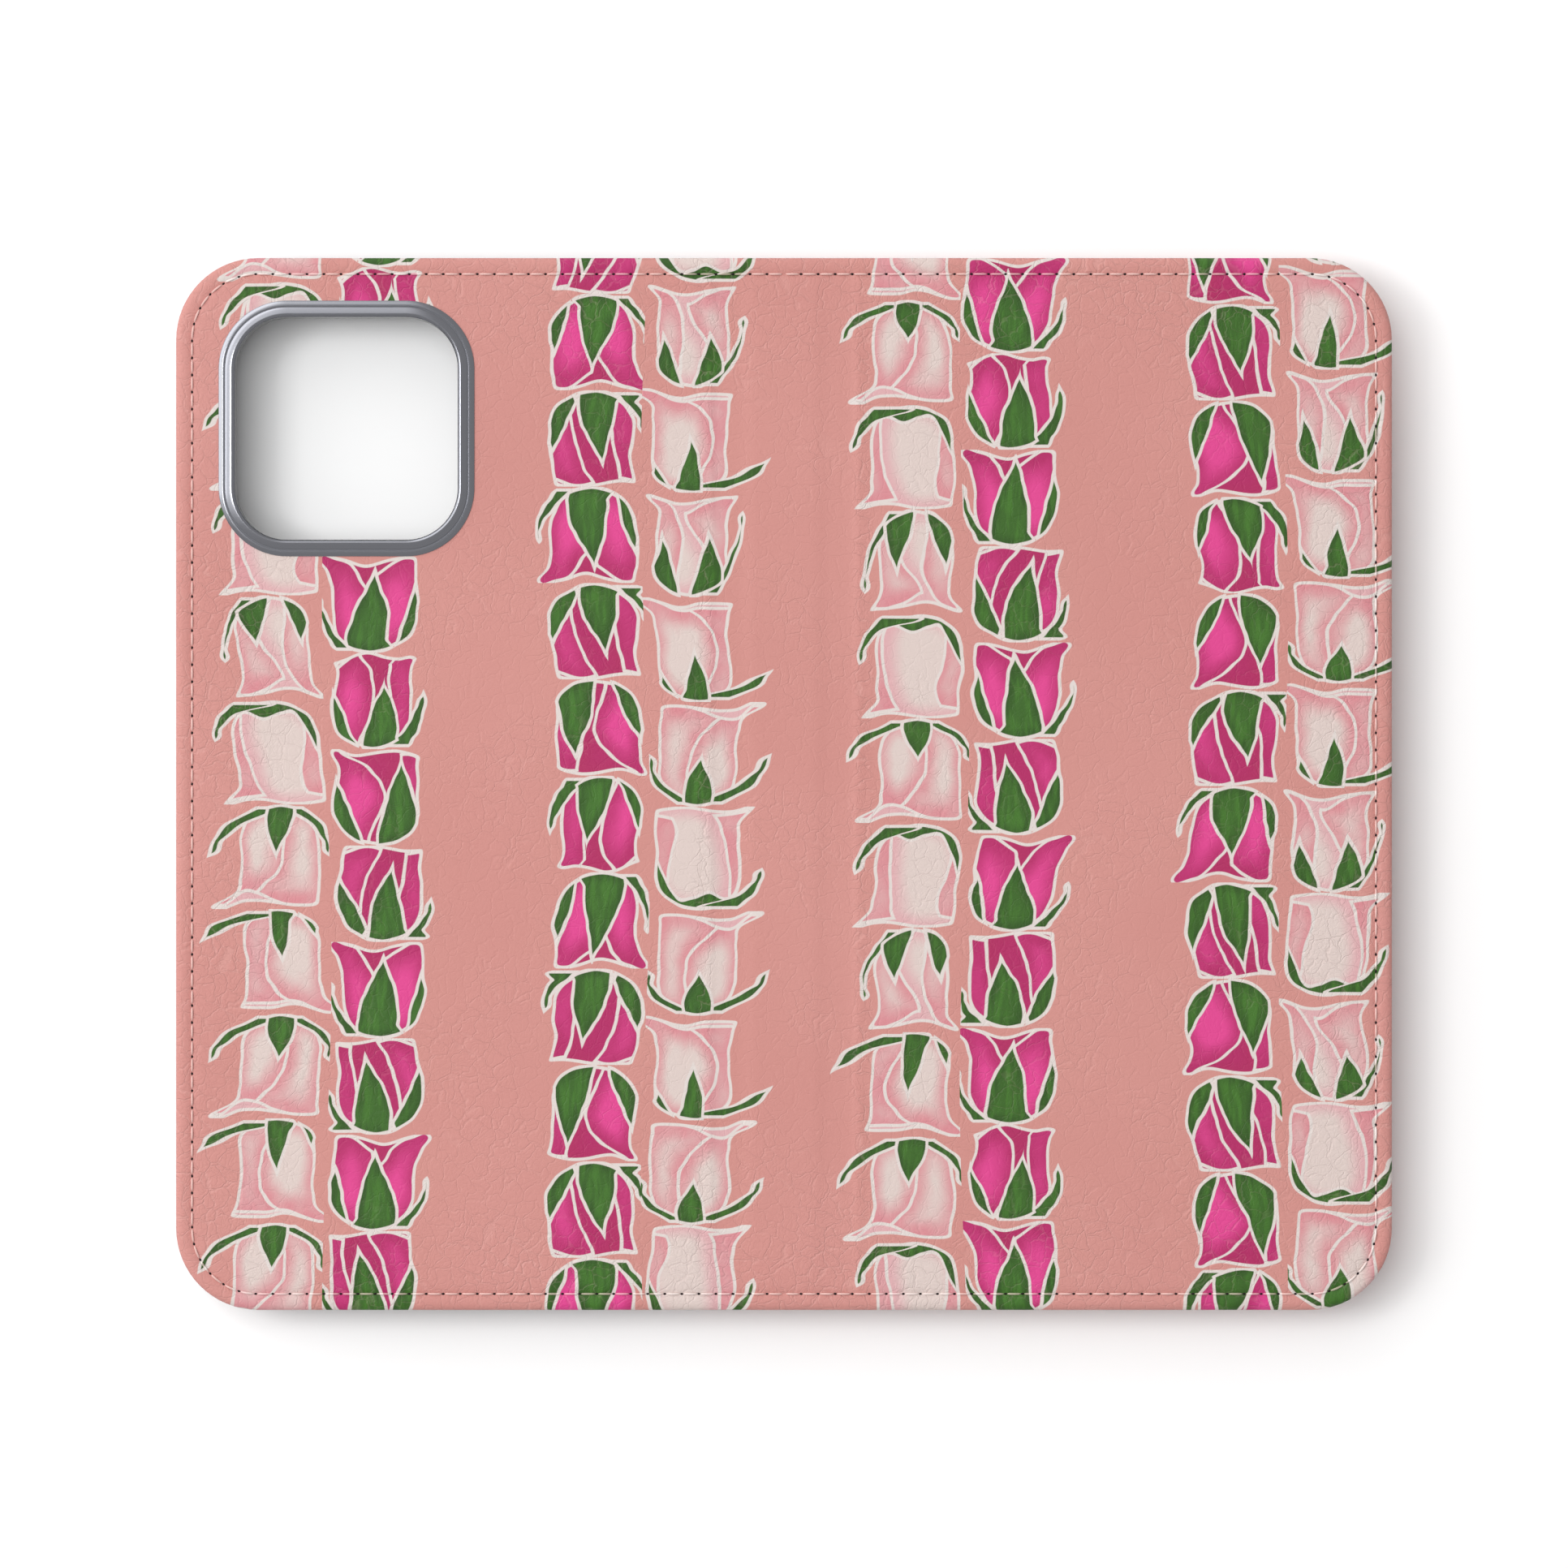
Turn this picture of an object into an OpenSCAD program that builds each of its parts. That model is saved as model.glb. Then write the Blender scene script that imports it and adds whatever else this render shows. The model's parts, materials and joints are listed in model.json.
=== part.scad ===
// Book-style wallet case for a phone: a printed leather-look cover with a folding spine,
// a snap-in tray behind the rear panel and card pockets behind the front panel.
// It lies open and flat, printed side up, on the rim of the tray.
// +X runs from the rear panel to the front cover, +Y to the top edge, +Z out of the print.
// The origin is midway along and across the open case, on the surface it lies on.

/* [Phone] */
// Width of the phone that the tray holds
phone_w = 71.5; // [60:0.1:86]
// Height of the phone
phone_h = 146.7; // [120:0.1:176]
// Thickness of the phone
phone_t = 7.65; // [6:0.05:10]
// Corner radius of the phone
phone_r = 9.5; // [6:0.5:12]

/* [Tray] */
// Gap round the phone
phone_clear = 0.2; // [0.1:0.05:0.5]
// Gap between the phone and the tray floor
depth_clear = 0.05; // [0:0.05:0.3]
// Thickness of the tray walls
wall_t = 1.3; // [1:0.1:2]
// Thickness of the tray floor
floor_t = 1.2; // [0.8:0.1:2]
// Height of the snap lip that holds the phone
lip_t = 1.0; // [0.6:0.1:1.6]
// How far the snap lip reaches over the phone
lip_reach = 0.6; // [0.3:0.1:1]
// Rounding where the tray walls meet the floor
edge_r = 1.5; // [1.2:0.1:2]
// Thickness of the tape between tray and lining
tape_t = 0.2; // [0.1:0.05:0.4]
// How far the tape stays inside the flat of the tray floor
tape_inset = 1.0; // [0.5:0.1:4]

/* [Cut-outs in the tray walls] */
// Height of the button cut-outs
button_cut_h = 5.0; // [4.5:0.1:6]
// Length of the cut-out for the switch and the two volume buttons
volume_cut_l = 38; // [30:1:44]
// From the top of the phone to the middle of the volume cut-out
volume_from_top = 37; // [32:1:50]
// Length of the cut-out for the side button
side_cut_l = 18; // [12:1:26]
// From the top of the phone to the middle of the side button
side_from_top = 46; // [35:1:56]
// Width of the charging port cut-out
port_cut_w = 13; // [10:0.5:16]
// Height of the charging port cut-out
port_cut_h = 6; // [4.5:0.1:7]
// Length of each speaker cut-out
speaker_cut_l = 14; // [10:0.5:16]
// Height of each speaker cut-out
speaker_cut_h = 3; // [2:0.1:3.8]
// From the middle of the port to the middle of a speaker cut-out
speaker_offset = 19; // [17:0.5:22]

/* [Cover sheet] */
// Thickness of the printed leather
leather_t = 0.8; // [0.5:0.05:1.2]
// Thickness of the stiffener boards
board_t = 0.8; // [0.5:0.05:1.2]
// Thickness of the lining
lining_t = 0.6; // [0.4:0.05:1]
// Corner radius of the open cover
corner_r = 12; // [8:0.5:16]
// Width of the leather turned in along the edges
hem_w = 3.6; // [3.2:0.1:5]
// How far the cover stands past the tray at the free edge
side_margin = 2.75; // [2.2:0.05:5]
// How far the cover stands past the tray at top and bottom
end_margin = 2.15; // [1.8:0.05:5]

/* [Spine] */
// Free space between tray rim and card pockets when shut
closing_gap = 1.45; // [1:0.05:3]
// From each fold line to the tray
fold_to_tray = 3.95; // [2.5:0.05:6]
// From each fold line out to the panel's stiffener
fold_to_board = 4.3; // [2.5:0.1:6]
// From each fold line in to the spine's stiffener
fold_to_spine_board = 2.6; // [1.5:0.1:4]
// Gap between a panel and the round edge of the spine
fold_clear = 0.3; // [0.3:0.05:0.6]

/* [Camera window] */
// Clear width of the camera window
window_w = 32.6; // [26:0.1:34]
// Corner radius of the camera window
window_r = 7.6; // [5:0.1:9]
// From the phone's free edge to the middle of the window
window_from_side = 20.75; // [20.5:0.05:24]
// From the phone's top to the middle of the window
window_from_top = 21.35; // [20.5:0.05:24]
// Wall of the bezel's neck
neck_t = 0.8; // [0.6:0.05:1.2]
// How far the bezel's flange reaches past the neck
flange_reach = 1.6; // [1.2:0.1:2]
// Thickness of the bezel's outer step
flange_t = 0.5; // [0.3:0.05:0.8]
// Height of the bezel's raised inner step over the outer one
inner_step_t = 0.3; // [0.2:0.05:0.6]
// Gap between the bezel's neck and what it passes through
neck_clear = 0.1; // [0.05:0.05:0.2]

/* [Card and cash pockets] */
// Width of a card
card_w = 54; // [50:0.5:58]
// Height of a card
card_h = 85.6; // [80:0.1:90]
// Space beside the card out to the edge of its pocket
card_ease = 5; // [3.5:0.5:6]
// How far a card stands out of its pocket
card_stands_out = 10; // [6:1:16]
// Step from one pocket mouth to the next
pocket_step = 12; // [8:1:16]
// From the cover's bottom edge up to the card pockets
pockets_from_edge = 13.5; // [8:0.5:24]
// Thickness of each card pocket sheet
card_sheet_t = 0.45; // [0.3:0.05:0.6]
// Thickness of the cash pocket sheet
cash_sheet_t = 0.5; // [0.3:0.05:0.7]
// From the cover's edge to the cash pocket
cash_inset = 3.2; // [2.9:0.1:4]
// From the fold line to the cash pocket's mouth
cash_mouth = 6.2; // [4.5:0.1:8]
// Radius of the thumb notches
notch_r = 9; // [6:0.5:12]

/* [Magnets] */
// Length of each magnet
magnet_l = 20; // [14:1:24]
// Distance between the middles of a pair of magnets
magnet_pitch = 23; // [16:1:30]
// From the bottom of the phone up to the middle of the pair
magnets_from_bottom = 33; // [32:1:50]
// Height of the tray magnets
tray_magnet_h = 3; // [2:0.1:4]
// Thickness of the tray magnets
tray_magnet_t = 1; // [0.8:0.1:1.2]
// Width of the flat magnets in the cover
cover_magnet_w = 5; // [3:0.5:6]
// Wall round a tray magnet
magnet_wall = 0.6; // [0.5:0.05:0.7]
// Gap round a tray magnet
magnet_clear = 0.05; // [0:0.01:0.1]

/* [Stitching] */
// From the cover's edge to the seam
stitch_inset = 2.4; // [2:0.05:2.8]
// From a pocket's edge to its seam
pocket_stitch_inset = 1.5; // [1:0.1:2.5]
// Width of the thread
thread_w = 0.35; // [0.2:0.05:0.5]
// Height of the thread over the surface it is sewn to
thread_h = 0.2; // [0.1:0.05:0.3]
// How far a thread stops short of a fold
thread_stop = 0.4; // [0.3:0.1:1]

/* [Hidden] */
$fn = 64;
hull_fn = 32;
bite = 1;                 // how far a cutting shape runs past what it cuts
rear = -1;                // the side of the rear panel
front = 1;                // the side of the front cover
pockets = 3;

panel_t = leather_t + board_t + lining_t;
tray_w = phone_w + 2 * (phone_clear + wall_t);
tray_h = phone_h + 2 * (phone_clear + wall_t);
tray_depth = lip_t + phone_t + depth_clear + floor_t;
tray_r = phone_r + phone_clear + wall_t;
pocket_stack = cash_sheet_t + pockets * card_sheet_t;

// the folds are as far apart as the shut case is thick, at the middle of the panels
fold_x = (panel_t + tape_t + tray_depth + pocket_stack + closing_gap) / 2;
panel_end = fold_x + panel_t / 2 + fold_clear;
tray_x = -(fold_x + fold_to_tray + tray_w / 2);
cover_x = fold_x + fold_to_tray + tray_w + side_margin;
cover_y = tray_h / 2 + end_margin;

lining_z = tray_depth + tape_t;
board_z = lining_z + lining_t;
leather_z = board_z + board_t;
top_z = leather_z + leather_t;
fold_z = lining_z + panel_t / 2;

phone_side = tray_x - phone_w / 2;
phone_top = phone_h / 2;
phone_mid_z = lip_t + (phone_t + depth_clear) / 2;
window_x = phone_side + window_from_side;
window_y = phone_top - window_from_top;
neck_w = window_w + 2 * neck_t;
neck_r = window_r + neck_t;
flange_w = neck_w + 2 * flange_reach;
flange_r = neck_r + flange_reach;
inner_step_w = neck_w + flange_reach;
inner_step_r = neck_r + flange_reach / 2;

cash_z = lining_z - cash_sheet_t;
pocket_w = card_w + 2 * card_ease;
pocket_x = (fold_x + cash_mouth + cover_x - hem_w) / 2;
pocket_bottom = -cover_y + pockets_from_edge;
first_mouth_y = pocket_bottom + pocket_stitch_inset + thread_w + card_h - card_stands_out;
pocket_r = 5;

magnets_y = -phone_h / 2 + magnets_from_bottom;
magnet_x = tray_x - tray_w / 2 - magnet_clear - tray_magnet_t / 2 + wall_t / 3;
boss_x = magnet_x - tray_magnet_t / 2 - magnet_clear - magnet_wall;
boss_l = magnet_pitch + magnet_l + 2 * (magnet_clear + magnet_wall);
boss_z = lip_t / 2;

// ---- shared shapes ----

module layer(z, t) {
    translate([0, 0, z]) linear_extrude(t) children();
}

module rounded(w, h, r) {
    square([w - 2 * r, h], center = true);
    square([w, h - 2 * r], center = true);
    for (x = [-1, 1], y = [-1, 1])
        translate([x * (w / 2 - r), y * (h / 2 - r)]) circle(r);
}

// the open cover's outline, pulled in by inset
module cover_outline(inset = 0) {
    rounded(2 * (cover_x - inset), 2 * (cover_y - inset), corner_r - inset);
}

// everything on one side of the folds, from a distance out
module beyond(side, from) {
    translate([side > 0 ? from : -from - 2 * cover_x, -2 * cover_y])
        square([2 * cover_x, 4 * cover_y]);
}

module panel_outline(side, inset = 0, from = panel_end) {
    intersection() {
        cover_outline(inset);
        beyond(side, from);
    }
}

module board_outline(side) {
    panel_outline(side, hem_w, fold_x + fold_to_board);
}

module seam_outline(side) {
    intersection() {
        difference() {
            cover_outline(stitch_inset - thread_w / 2);
            cover_outline(stitch_inset + thread_w / 2);
        }
        beyond(side, panel_end + thread_stop);
    }
}

// the hole that the bezel's neck passes through
module window_cut() {
    translate([window_x, window_y, -bite])
        linear_extrude(top_z + 2 * bite)
            rounded(neck_w + 2 * neck_clear, neck_w + 2 * neck_clear, neck_r + neck_clear);
}

// ---- printed leather: one sheet in three stretches ----

module leather_panel(side) {
    difference() {
        layer(board_z, board_t + leather_t) panel_outline(side);
        layer(board_z - bite, board_t + bite) board_outline(side);
    }
}

module leather_back() {
    color("lightsalmon") difference() {
        leather_panel(rear);
        window_cut();
    }
}

module leather_front() {
    color("lightsalmon") leather_panel(front);
}

module leather_spine() {
    color("lightsalmon") {
        difference() {
            layer(board_z, board_t + leather_t) square([2 * fold_x, 2 * cover_y], center = true);
            layer(board_z - bite, board_t + bite) spine_board_outline();
        }
        for (side = [rear, front])
            translate([side * fold_x, 0, fold_z]) rotate([90, 0, 0])
                cylinder(r = panel_t / 2, h = 2 * cover_y, center = true);
    }
}

// ---- stiffener boards ----

module spine_board_outline() {
    square([2 * (fold_x - fold_to_spine_board), 2 * (cover_y - hem_w)], center = true);
}

module board_back() {
    color("burlywood") difference() {
        layer(board_z, board_t) board_outline(rear);
        window_cut();
    }
}

module board_spine() {
    color("burlywood") layer(board_z, board_t) spine_board_outline();
}

module board_front() {
    color("burlywood") difference() {
        layer(board_z, board_t) board_outline(front);
        cover_magnets_at() cube([cover_magnet_w, magnet_l, 3 * board_t], center = true);
    }
}

// ---- lining ----

module lining_back() {
    color("rosybrown") difference() {
        layer(lining_z, lining_t) panel_outline(rear);
        window_cut();
    }
}

module lining_spine() {
    color("rosybrown") layer(lining_z, lining_t)
        square([2 * fold_x - panel_t, 2 * cover_y], center = true);
}

module lining_front() {
    color("rosybrown") layer(lining_z, lining_t) panel_outline(front);
}

// ---- tray ----

// a block with the phone's corners whose upper edges are rounded over
module tray_block() {
    steps = 4;
    hull() {
        layer(0, tray_depth - edge_r) rounded(tray_w, tray_h, tray_r, $fn = hull_fn);
        for (i = [1:steps]) {
            a = 90 * i / steps;
            pull = edge_r * (1 - cos(a));
            layer(tray_depth - edge_r, edge_r * sin(a))
                rounded(tray_w - 2 * pull, tray_h - 2 * pull, tray_r - pull, $fn = hull_fn);
        }
    }
}

// a slot through a wall, with half-round ends, its length along X and its cut along Y
module wall_slot(l, h) {
    rotate([90, 0, 0]) linear_extrude(4 * wall_t, center = true) {
        square([l - h, h], center = true);
        for (x = [-1, 1]) translate([x * (l - h) / 2, 0]) circle(h / 2);
    }
}

module tray_magnets_at() {
    for (y = [-0.5, 0.5])
        translate([magnet_x, magnets_y + y * magnet_pitch, phone_mid_z]) children();
}

module phone_tray() {
    color("gray", 0.6) difference() {
        union() {
            translate([tray_x, 0, 0]) tray_block();
            translate([boss_x, magnets_y - boss_l / 2, boss_z])
                cube([tray_x - tray_w / 2 + wall_t / 2 - boss_x, boss_l, tray_depth - edge_r - boss_z]);
        }
        translate([tray_x, 0, 0]) {
            layer(lip_t, phone_t + depth_clear)
                rounded(tray_w - 2 * wall_t, tray_h - 2 * wall_t, tray_r - wall_t);
            layer(-bite, lip_t + 2 * bite)
                rounded(tray_w - 2 * (wall_t + lip_reach), tray_h - 2 * (wall_t + lip_reach),
                    tray_r - wall_t - lip_reach);
            translate([-tray_w / 2, phone_top - side_from_top, phone_mid_z])
                rotate(90) wall_slot(side_cut_l, button_cut_h);
            translate([tray_w / 2, phone_top - volume_from_top, phone_mid_z])
                rotate(90) wall_slot(volume_cut_l, button_cut_h);
            translate([0, -tray_h / 2, phone_mid_z]) {
                wall_slot(port_cut_w, port_cut_h);
                for (x = [-1, 1])
                    translate([x * speaker_offset, 0, 0]) wall_slot(speaker_cut_l, speaker_cut_h);
            }
        }
        tray_magnets_at()
            cube([tray_magnet_t, magnet_l, tray_magnet_h] + 2 * magnet_clear * [1, 1, 1], center = true);
        window_cut();
    }
}

module mounting_tape() {
    color("whitesmoke") difference() {
        translate([tray_x, 0, 0]) layer(tray_depth, tape_t)
            rounded(tray_w - 2 * (edge_r + tape_inset), tray_h - 2 * (edge_r + tape_inset),
                tray_r - edge_r - tape_inset);
        window_cut();
    }
}

module camera_bezel() {
    color("dimgray") translate([window_x, window_y, 0]) difference() {
        union() {
            layer(tray_depth - floor_t, top_z - tray_depth + floor_t) rounded(neck_w, neck_w, neck_r);
            layer(top_z, flange_t) rounded(flange_w, flange_w, flange_r);
            layer(top_z, flange_t + inner_step_t) rounded(inner_step_w, inner_step_w, inner_step_r);
        }
        layer(0, 2 * top_z) rounded(window_w, window_w, window_r);
    }
}

// ---- magnets ----

module tray_magnets() {
    color("silver") tray_magnets_at()
        cube([tray_magnet_t, magnet_l, tray_magnet_h], center = true);
}

module cover_magnets_at() {
    for (y = [-0.5, 0.5])
        translate([cover_x - hem_w - cover_magnet_w / 2, magnets_y + y * magnet_pitch,
            board_z + board_t / 2]) children();
}

module cover_magnets() {
    color("silver") cover_magnets_at() cube([cover_magnet_w, magnet_l, board_t], center = true);
}

// ---- pockets inside the front cover ----

module cash_pocket() {
    color("rosybrown") layer(cash_z, cash_sheet_t)
        panel_outline(front, cash_inset, fold_x + cash_mouth);
}

function mouth_y(i) = first_mouth_y + (pockets - i) * pocket_step;
function sheet_z(i) = cash_z - i * card_sheet_t;

// card pocket i, counted from the cash pocket outwards
module card_pocket(i) {
    h = mouth_y(i) - pocket_bottom;
    color("rosybrown") layer(sheet_z(i), card_sheet_t) difference() {
        translate([pocket_x, pocket_bottom]) {
            translate([-pocket_w / 2, pocket_r]) square([pocket_w, h - pocket_r]);
            translate([-pocket_w / 2 + pocket_r, 0]) square([pocket_w - 2 * pocket_r, h]);
            for (x = [-1, 1]) translate([x * (pocket_w / 2 - pocket_r), pocket_r]) circle(pocket_r);
        }
        translate([pocket_x, mouth_y(i)]) circle(notch_r);
    }
}

module card_pocket_rear() {
    card_pocket(1);
}

module card_pocket_middle() {
    card_pocket(2);
}

module card_pocket_front() {
    card_pocket(3);
}

// ---- thread ----

module seam_thread_panel(side) {
    color("mistyrose") for (z = [top_z, lining_z - thread_h])
        layer(z, thread_h) seam_outline(side);
}

module seam_thread_back() {
    seam_thread_panel(rear);
}

module seam_thread_front() {
    seam_thread_panel(front);
}

module seam_thread_spine() {
    color("mistyrose") for (z = [top_z, lining_z - thread_h], y = [-1, 1])
        layer(z, thread_h) translate([0, y * (cover_y - stitch_inset)])
            square([2 * (fold_x - panel_t / 2 - thread_stop), thread_w], center = true);
}

// the seams run down both sides of the card pockets and along their bottom edge
module pocket_thread() {
    seam_x = pocket_w / 2 - pocket_stitch_inset;
    seam_y = pocket_bottom + pocket_stitch_inset;
    color("mistyrose") {
        for (i = [1:pockets], x = [-1, 1]) {
            from = i == pockets ? seam_y : mouth_y(i + 1);
            layer(sheet_z(i) - thread_h, thread_h)
                translate([pocket_x + x * seam_x - thread_w / 2, from])
                    square([thread_w, mouth_y(i) - from]);
        }
        layer(sheet_z(pockets) - thread_h, thread_h)
            translate([pocket_x - seam_x, seam_y]) square([2 * seam_x, thread_w]);
        layer(cash_z - thread_h, thread_h) intersection() {
            difference() {
                cover_outline(cash_inset + pocket_stitch_inset);
                cover_outline(cash_inset + pocket_stitch_inset + thread_w);
            }
            beyond(front, fold_x + cash_mouth);
        }
    }
}

leather_back();
board_back();
lining_back();
mounting_tape();
phone_tray();
camera_bezel();
tray_magnets();
seam_thread_back();
leather_spine();
board_spine();
lining_spine();
seam_thread_spine();
leather_front();
board_front();
lining_front();
cash_pocket();
card_pocket_rear();
card_pocket_middle();
card_pocket_front();
cover_magnets();
seam_thread_front();
pocket_thread();
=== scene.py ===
import json
import math
from types import SimpleNamespace

import bmesh
import bpy
import numpy as np
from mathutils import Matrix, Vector, noise


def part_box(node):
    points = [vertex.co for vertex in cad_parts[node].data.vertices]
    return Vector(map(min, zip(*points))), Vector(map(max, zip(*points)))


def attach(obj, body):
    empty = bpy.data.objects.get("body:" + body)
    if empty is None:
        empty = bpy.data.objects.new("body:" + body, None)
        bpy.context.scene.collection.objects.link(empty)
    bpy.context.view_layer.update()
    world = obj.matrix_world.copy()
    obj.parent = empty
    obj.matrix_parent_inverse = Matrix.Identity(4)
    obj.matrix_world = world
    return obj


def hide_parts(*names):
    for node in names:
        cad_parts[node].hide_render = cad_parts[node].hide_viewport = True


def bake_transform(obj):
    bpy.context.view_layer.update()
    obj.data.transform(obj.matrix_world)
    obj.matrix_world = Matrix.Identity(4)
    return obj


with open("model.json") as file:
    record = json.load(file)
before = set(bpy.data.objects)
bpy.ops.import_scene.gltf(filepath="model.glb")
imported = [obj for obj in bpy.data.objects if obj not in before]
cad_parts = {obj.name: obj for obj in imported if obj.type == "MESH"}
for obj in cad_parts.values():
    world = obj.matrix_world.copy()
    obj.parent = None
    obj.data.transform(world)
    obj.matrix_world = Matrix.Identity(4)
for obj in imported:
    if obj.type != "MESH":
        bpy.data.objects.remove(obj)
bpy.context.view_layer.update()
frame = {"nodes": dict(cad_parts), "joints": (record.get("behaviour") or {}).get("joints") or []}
print("frame loaded")

mm = 0.001

# sizes that the frame gives, all in metres
leatherLow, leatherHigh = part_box("leather_back")
boardLow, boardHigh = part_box("board_back")
spineLow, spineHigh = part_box("board_spine")
liningLow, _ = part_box("lining_back")
trayLow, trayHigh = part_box("phone_tray")
bezelLow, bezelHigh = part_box("camera_bezel")
foldX = frame["joints"][1]["pos_m"][0]
coverHalf = Vector((-leatherLow.x, leatherHigh.y, 0))
topZ = leatherHigh.z


# camera, lights and floor

view = dict(
    lens=150, height=0.968, floorColour=(0.98, 0.98, 0.98), floorSize=6,
    skyFrom=(-0.72, 0.55, 0.42), skyEdge=(0.5, 0.86), skyDim=0.38, skyBright=1.48,
    # place, width, depth, power, whether it lights surfaces, whether gloss shows it
    lamps=dict(
        keyLight=((-0.6, 0.1, 1.0), 0.3, 0.3, 2.6, True, True),
        topLight=((-0.25, 0.1, 1.25), 0.7, 0.7, 6.6, True, False),
        edgeLight=((-1.22, 0.94, 0.71), 2.6, 0.8, 7.0, False, True),
    ),
)


def setCamera():
    camera = bpy.data.objects.new("camera", bpy.data.cameras.new("camera"))
    camera.data.lens = view["lens"]
    camera.location = (0, 0, view["height"])
    bpy.context.collection.objects.link(camera)
    bpy.context.scene.camera = camera
    bpy.context.scene.view_settings.view_transform = "Standard"


def setSky():  # an even sky with a brighter patch at one side
    world = bpy.data.worlds.new("studio")
    bpy.context.scene.world = world
    world.use_nodes = True
    background = world.node_tree.nodes["Background"]
    towards = Wire(world.node_tree, None).node("ShaderNodeTexCoord")
    facing = towards.node("ShaderNodeVectorMath", dict(operation="DOT_PRODUCT"),
                          {0: towards, 1: view["skyFrom"]}, 1)
    strength = facing.ease(*view["skyEdge"]) * (view["skyBright"] - view["skyDim"]) + view["skyDim"]
    world.node_tree.links.new(strength.socket, background.inputs["Strength"])
    background.inputs["Color"].default_value = (1, 1, 1, 1)


def setLamps():
    for name, (spot, width, depth, power, onSurfaces, inGloss) in view["lamps"].items():
        lamp = bpy.data.objects.new(name, bpy.data.lights.new(name, "AREA"))
        lamp.data.shape = "RECTANGLE"
        lamp.data.size = width
        lamp.data.size_y = depth
        lamp.data.energy = power
        lamp.location = spot
        lamp.rotation_euler = Vector(spot).to_track_quat("Z", "Y").to_euler()
        lamp.visible_diffuse = onSurfaces
        lamp.visible_glossy = inGloss
        bpy.context.collection.objects.link(lamp)


# shader wiring


class Wire:  # one socket; arithmetic on it adds Math nodes
    def __init__(self, tree, socket):
        self.tree = tree
        self.socket = socket

    def node(self, kind, settings=None, inputs=None, output=0):
        made = self.tree.nodes.new(kind)
        for key, value in (settings or {}).items():
            if key == "stops":
                fillRamp(made.color_ramp, value)
            elif key == "interpolation":
                made.color_ramp.interpolation = value
            else:
                setattr(made, key, value)
        for key, value in (inputs or {}).items():
            if isinstance(value, Wire):
                self.tree.links.new(value.socket, made.inputs[key])
            else:
                made.inputs[key].default_value = value
        return Wire(self.tree, made.outputs[output])

    def beside(self, output):
        return Wire(self.tree, self.socket.node.outputs[output])

    def math(self, operation, *values, clamp=False):
        settings = dict(operation=operation, use_clamp=clamp)
        return self.node("ShaderNodeMath", settings, dict(enumerate(values)))

    def __add__(self, other):
        return self.math("ADD", self, other)

    __radd__ = __add__

    def __sub__(self, other):
        return self.math("SUBTRACT", self, other)

    def __rsub__(self, other):
        return self.math("SUBTRACT", other, self)

    def __mul__(self, other):
        return self.math("MULTIPLY", self, other)

    __rmul__ = __mul__

    def __truediv__(self, other):
        return self.math("DIVIDE", self, other)

    def least(self, other):
        return self.math("MINIMUM", self, other)

    def most(self, other):
        return self.math("MAXIMUM", self, other)

    def floor(self):
        return self.math("FLOOR", self)

    def size(self):  # without its sign
        return self.math("ABSOLUTE", self)

    def over(self, other):
        return self.math("GREATER_THAN", self, other)

    def ease(self, low, high):  # 0 below low, 1 above high, smooth between
        settings = dict(interpolation_type="SMOOTHSTEP")
        return self.node("ShaderNodeMapRange", settings, {0: self, 1: low, 2: high})

    def blend(self, first, second):  # this is the share of the second colour
        return self.node("ShaderNodeMix", dict(data_type="RGBA"), {0: self, 6: first, 7: second}, 2)

    def between(self, first, second):  # the same for numbers
        return self.node("ShaderNodeMix", dict(data_type="FLOAT"), {0: self, 2: first, 3: second})

    def parts(self):
        split = self.node("ShaderNodeSeparateXYZ", None, {0: self})
        return split, split.beside(1), split.beside(2)

    def place(self):  # where on the object, in metres
        return self.node("ShaderNodeTexCoord", None, None, 3)

    def vector(self, x, y, z=0.0):
        return self.node("ShaderNodeCombineXYZ", None, {0: x, 1: y, 2: z})

    def noise(self, scale, detail=2.0, rough=0.5):
        inputs = dict(Vector=self, Scale=scale, Detail=detail, Roughness=rough)
        return self.node("ShaderNodeTexNoise", None, inputs)


def fillRamp(ramp, stops):
    while len(ramp.elements) < len(stops):
        ramp.elements.new(0.5)
    for element, (position, colour) in zip(ramp.elements, stops):
        element.position = position
        element.color = colour


def paint(red, green, blue):  # a display colour as a linear one
    linear = [((c / 255 + 0.055) / 1.055) ** 2.4 if c > 10 else c / 3295 for c in (red, green, blue)]
    return (*linear, 1.0)


inks = dict(
    white=(212, 202, 197), darkGreen=(44, 76, 26), green=(64, 110, 38),
    paleRim=(204, 130, 137), paleBloom=(209, 192, 186), paleDeep=(209, 162, 165),
    magentaRim=(168, 38, 94), magentaBloom=(212, 66, 136), magentaDeep=(166, 40, 90),
    # the crackle ink is a painted highlight along the leather's crackle lines
    # the thread ink lightens the stitches: partly the thread's own tone, partly a painted highlight
    leather=(199, 138, 131), dullLeather=(196, 134, 127), crackleHighlight=(232, 196, 188), thread=(215, 190, 182),
    lining=(214, 152, 145), dullLining=(196, 134, 128),
    liningThread=(236, 194, 186), dullLiningThread=(218, 170, 162),
    # the dark metal ink is painted shade on the bezel's neck inside the window
    metal=(156, 157, 164), neckShadeMetal=(26, 26, 29), tray=(81, 83, 89), darkTray=(74, 76, 81),
    board=(186, 174, 152), darkBoard=(150, 138, 118), tape=(238, 238, 235), dullTape=(226, 226, 222),
    # the two hole inks are painted shade for the needle holes
    nickel=(196, 196, 198), hole=(30, 14, 16), deepHoleShade=(14, 6, 8),
)


def ink(name):
    return paint(*inks[name])


def newFinish(name):
    finish = bpy.data.materials.new(name)
    finish.use_nodes = True
    tree = finish.node_tree
    shader = tree.nodes["Principled BSDF"]
    return finish, Wire(tree, None), shader


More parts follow.
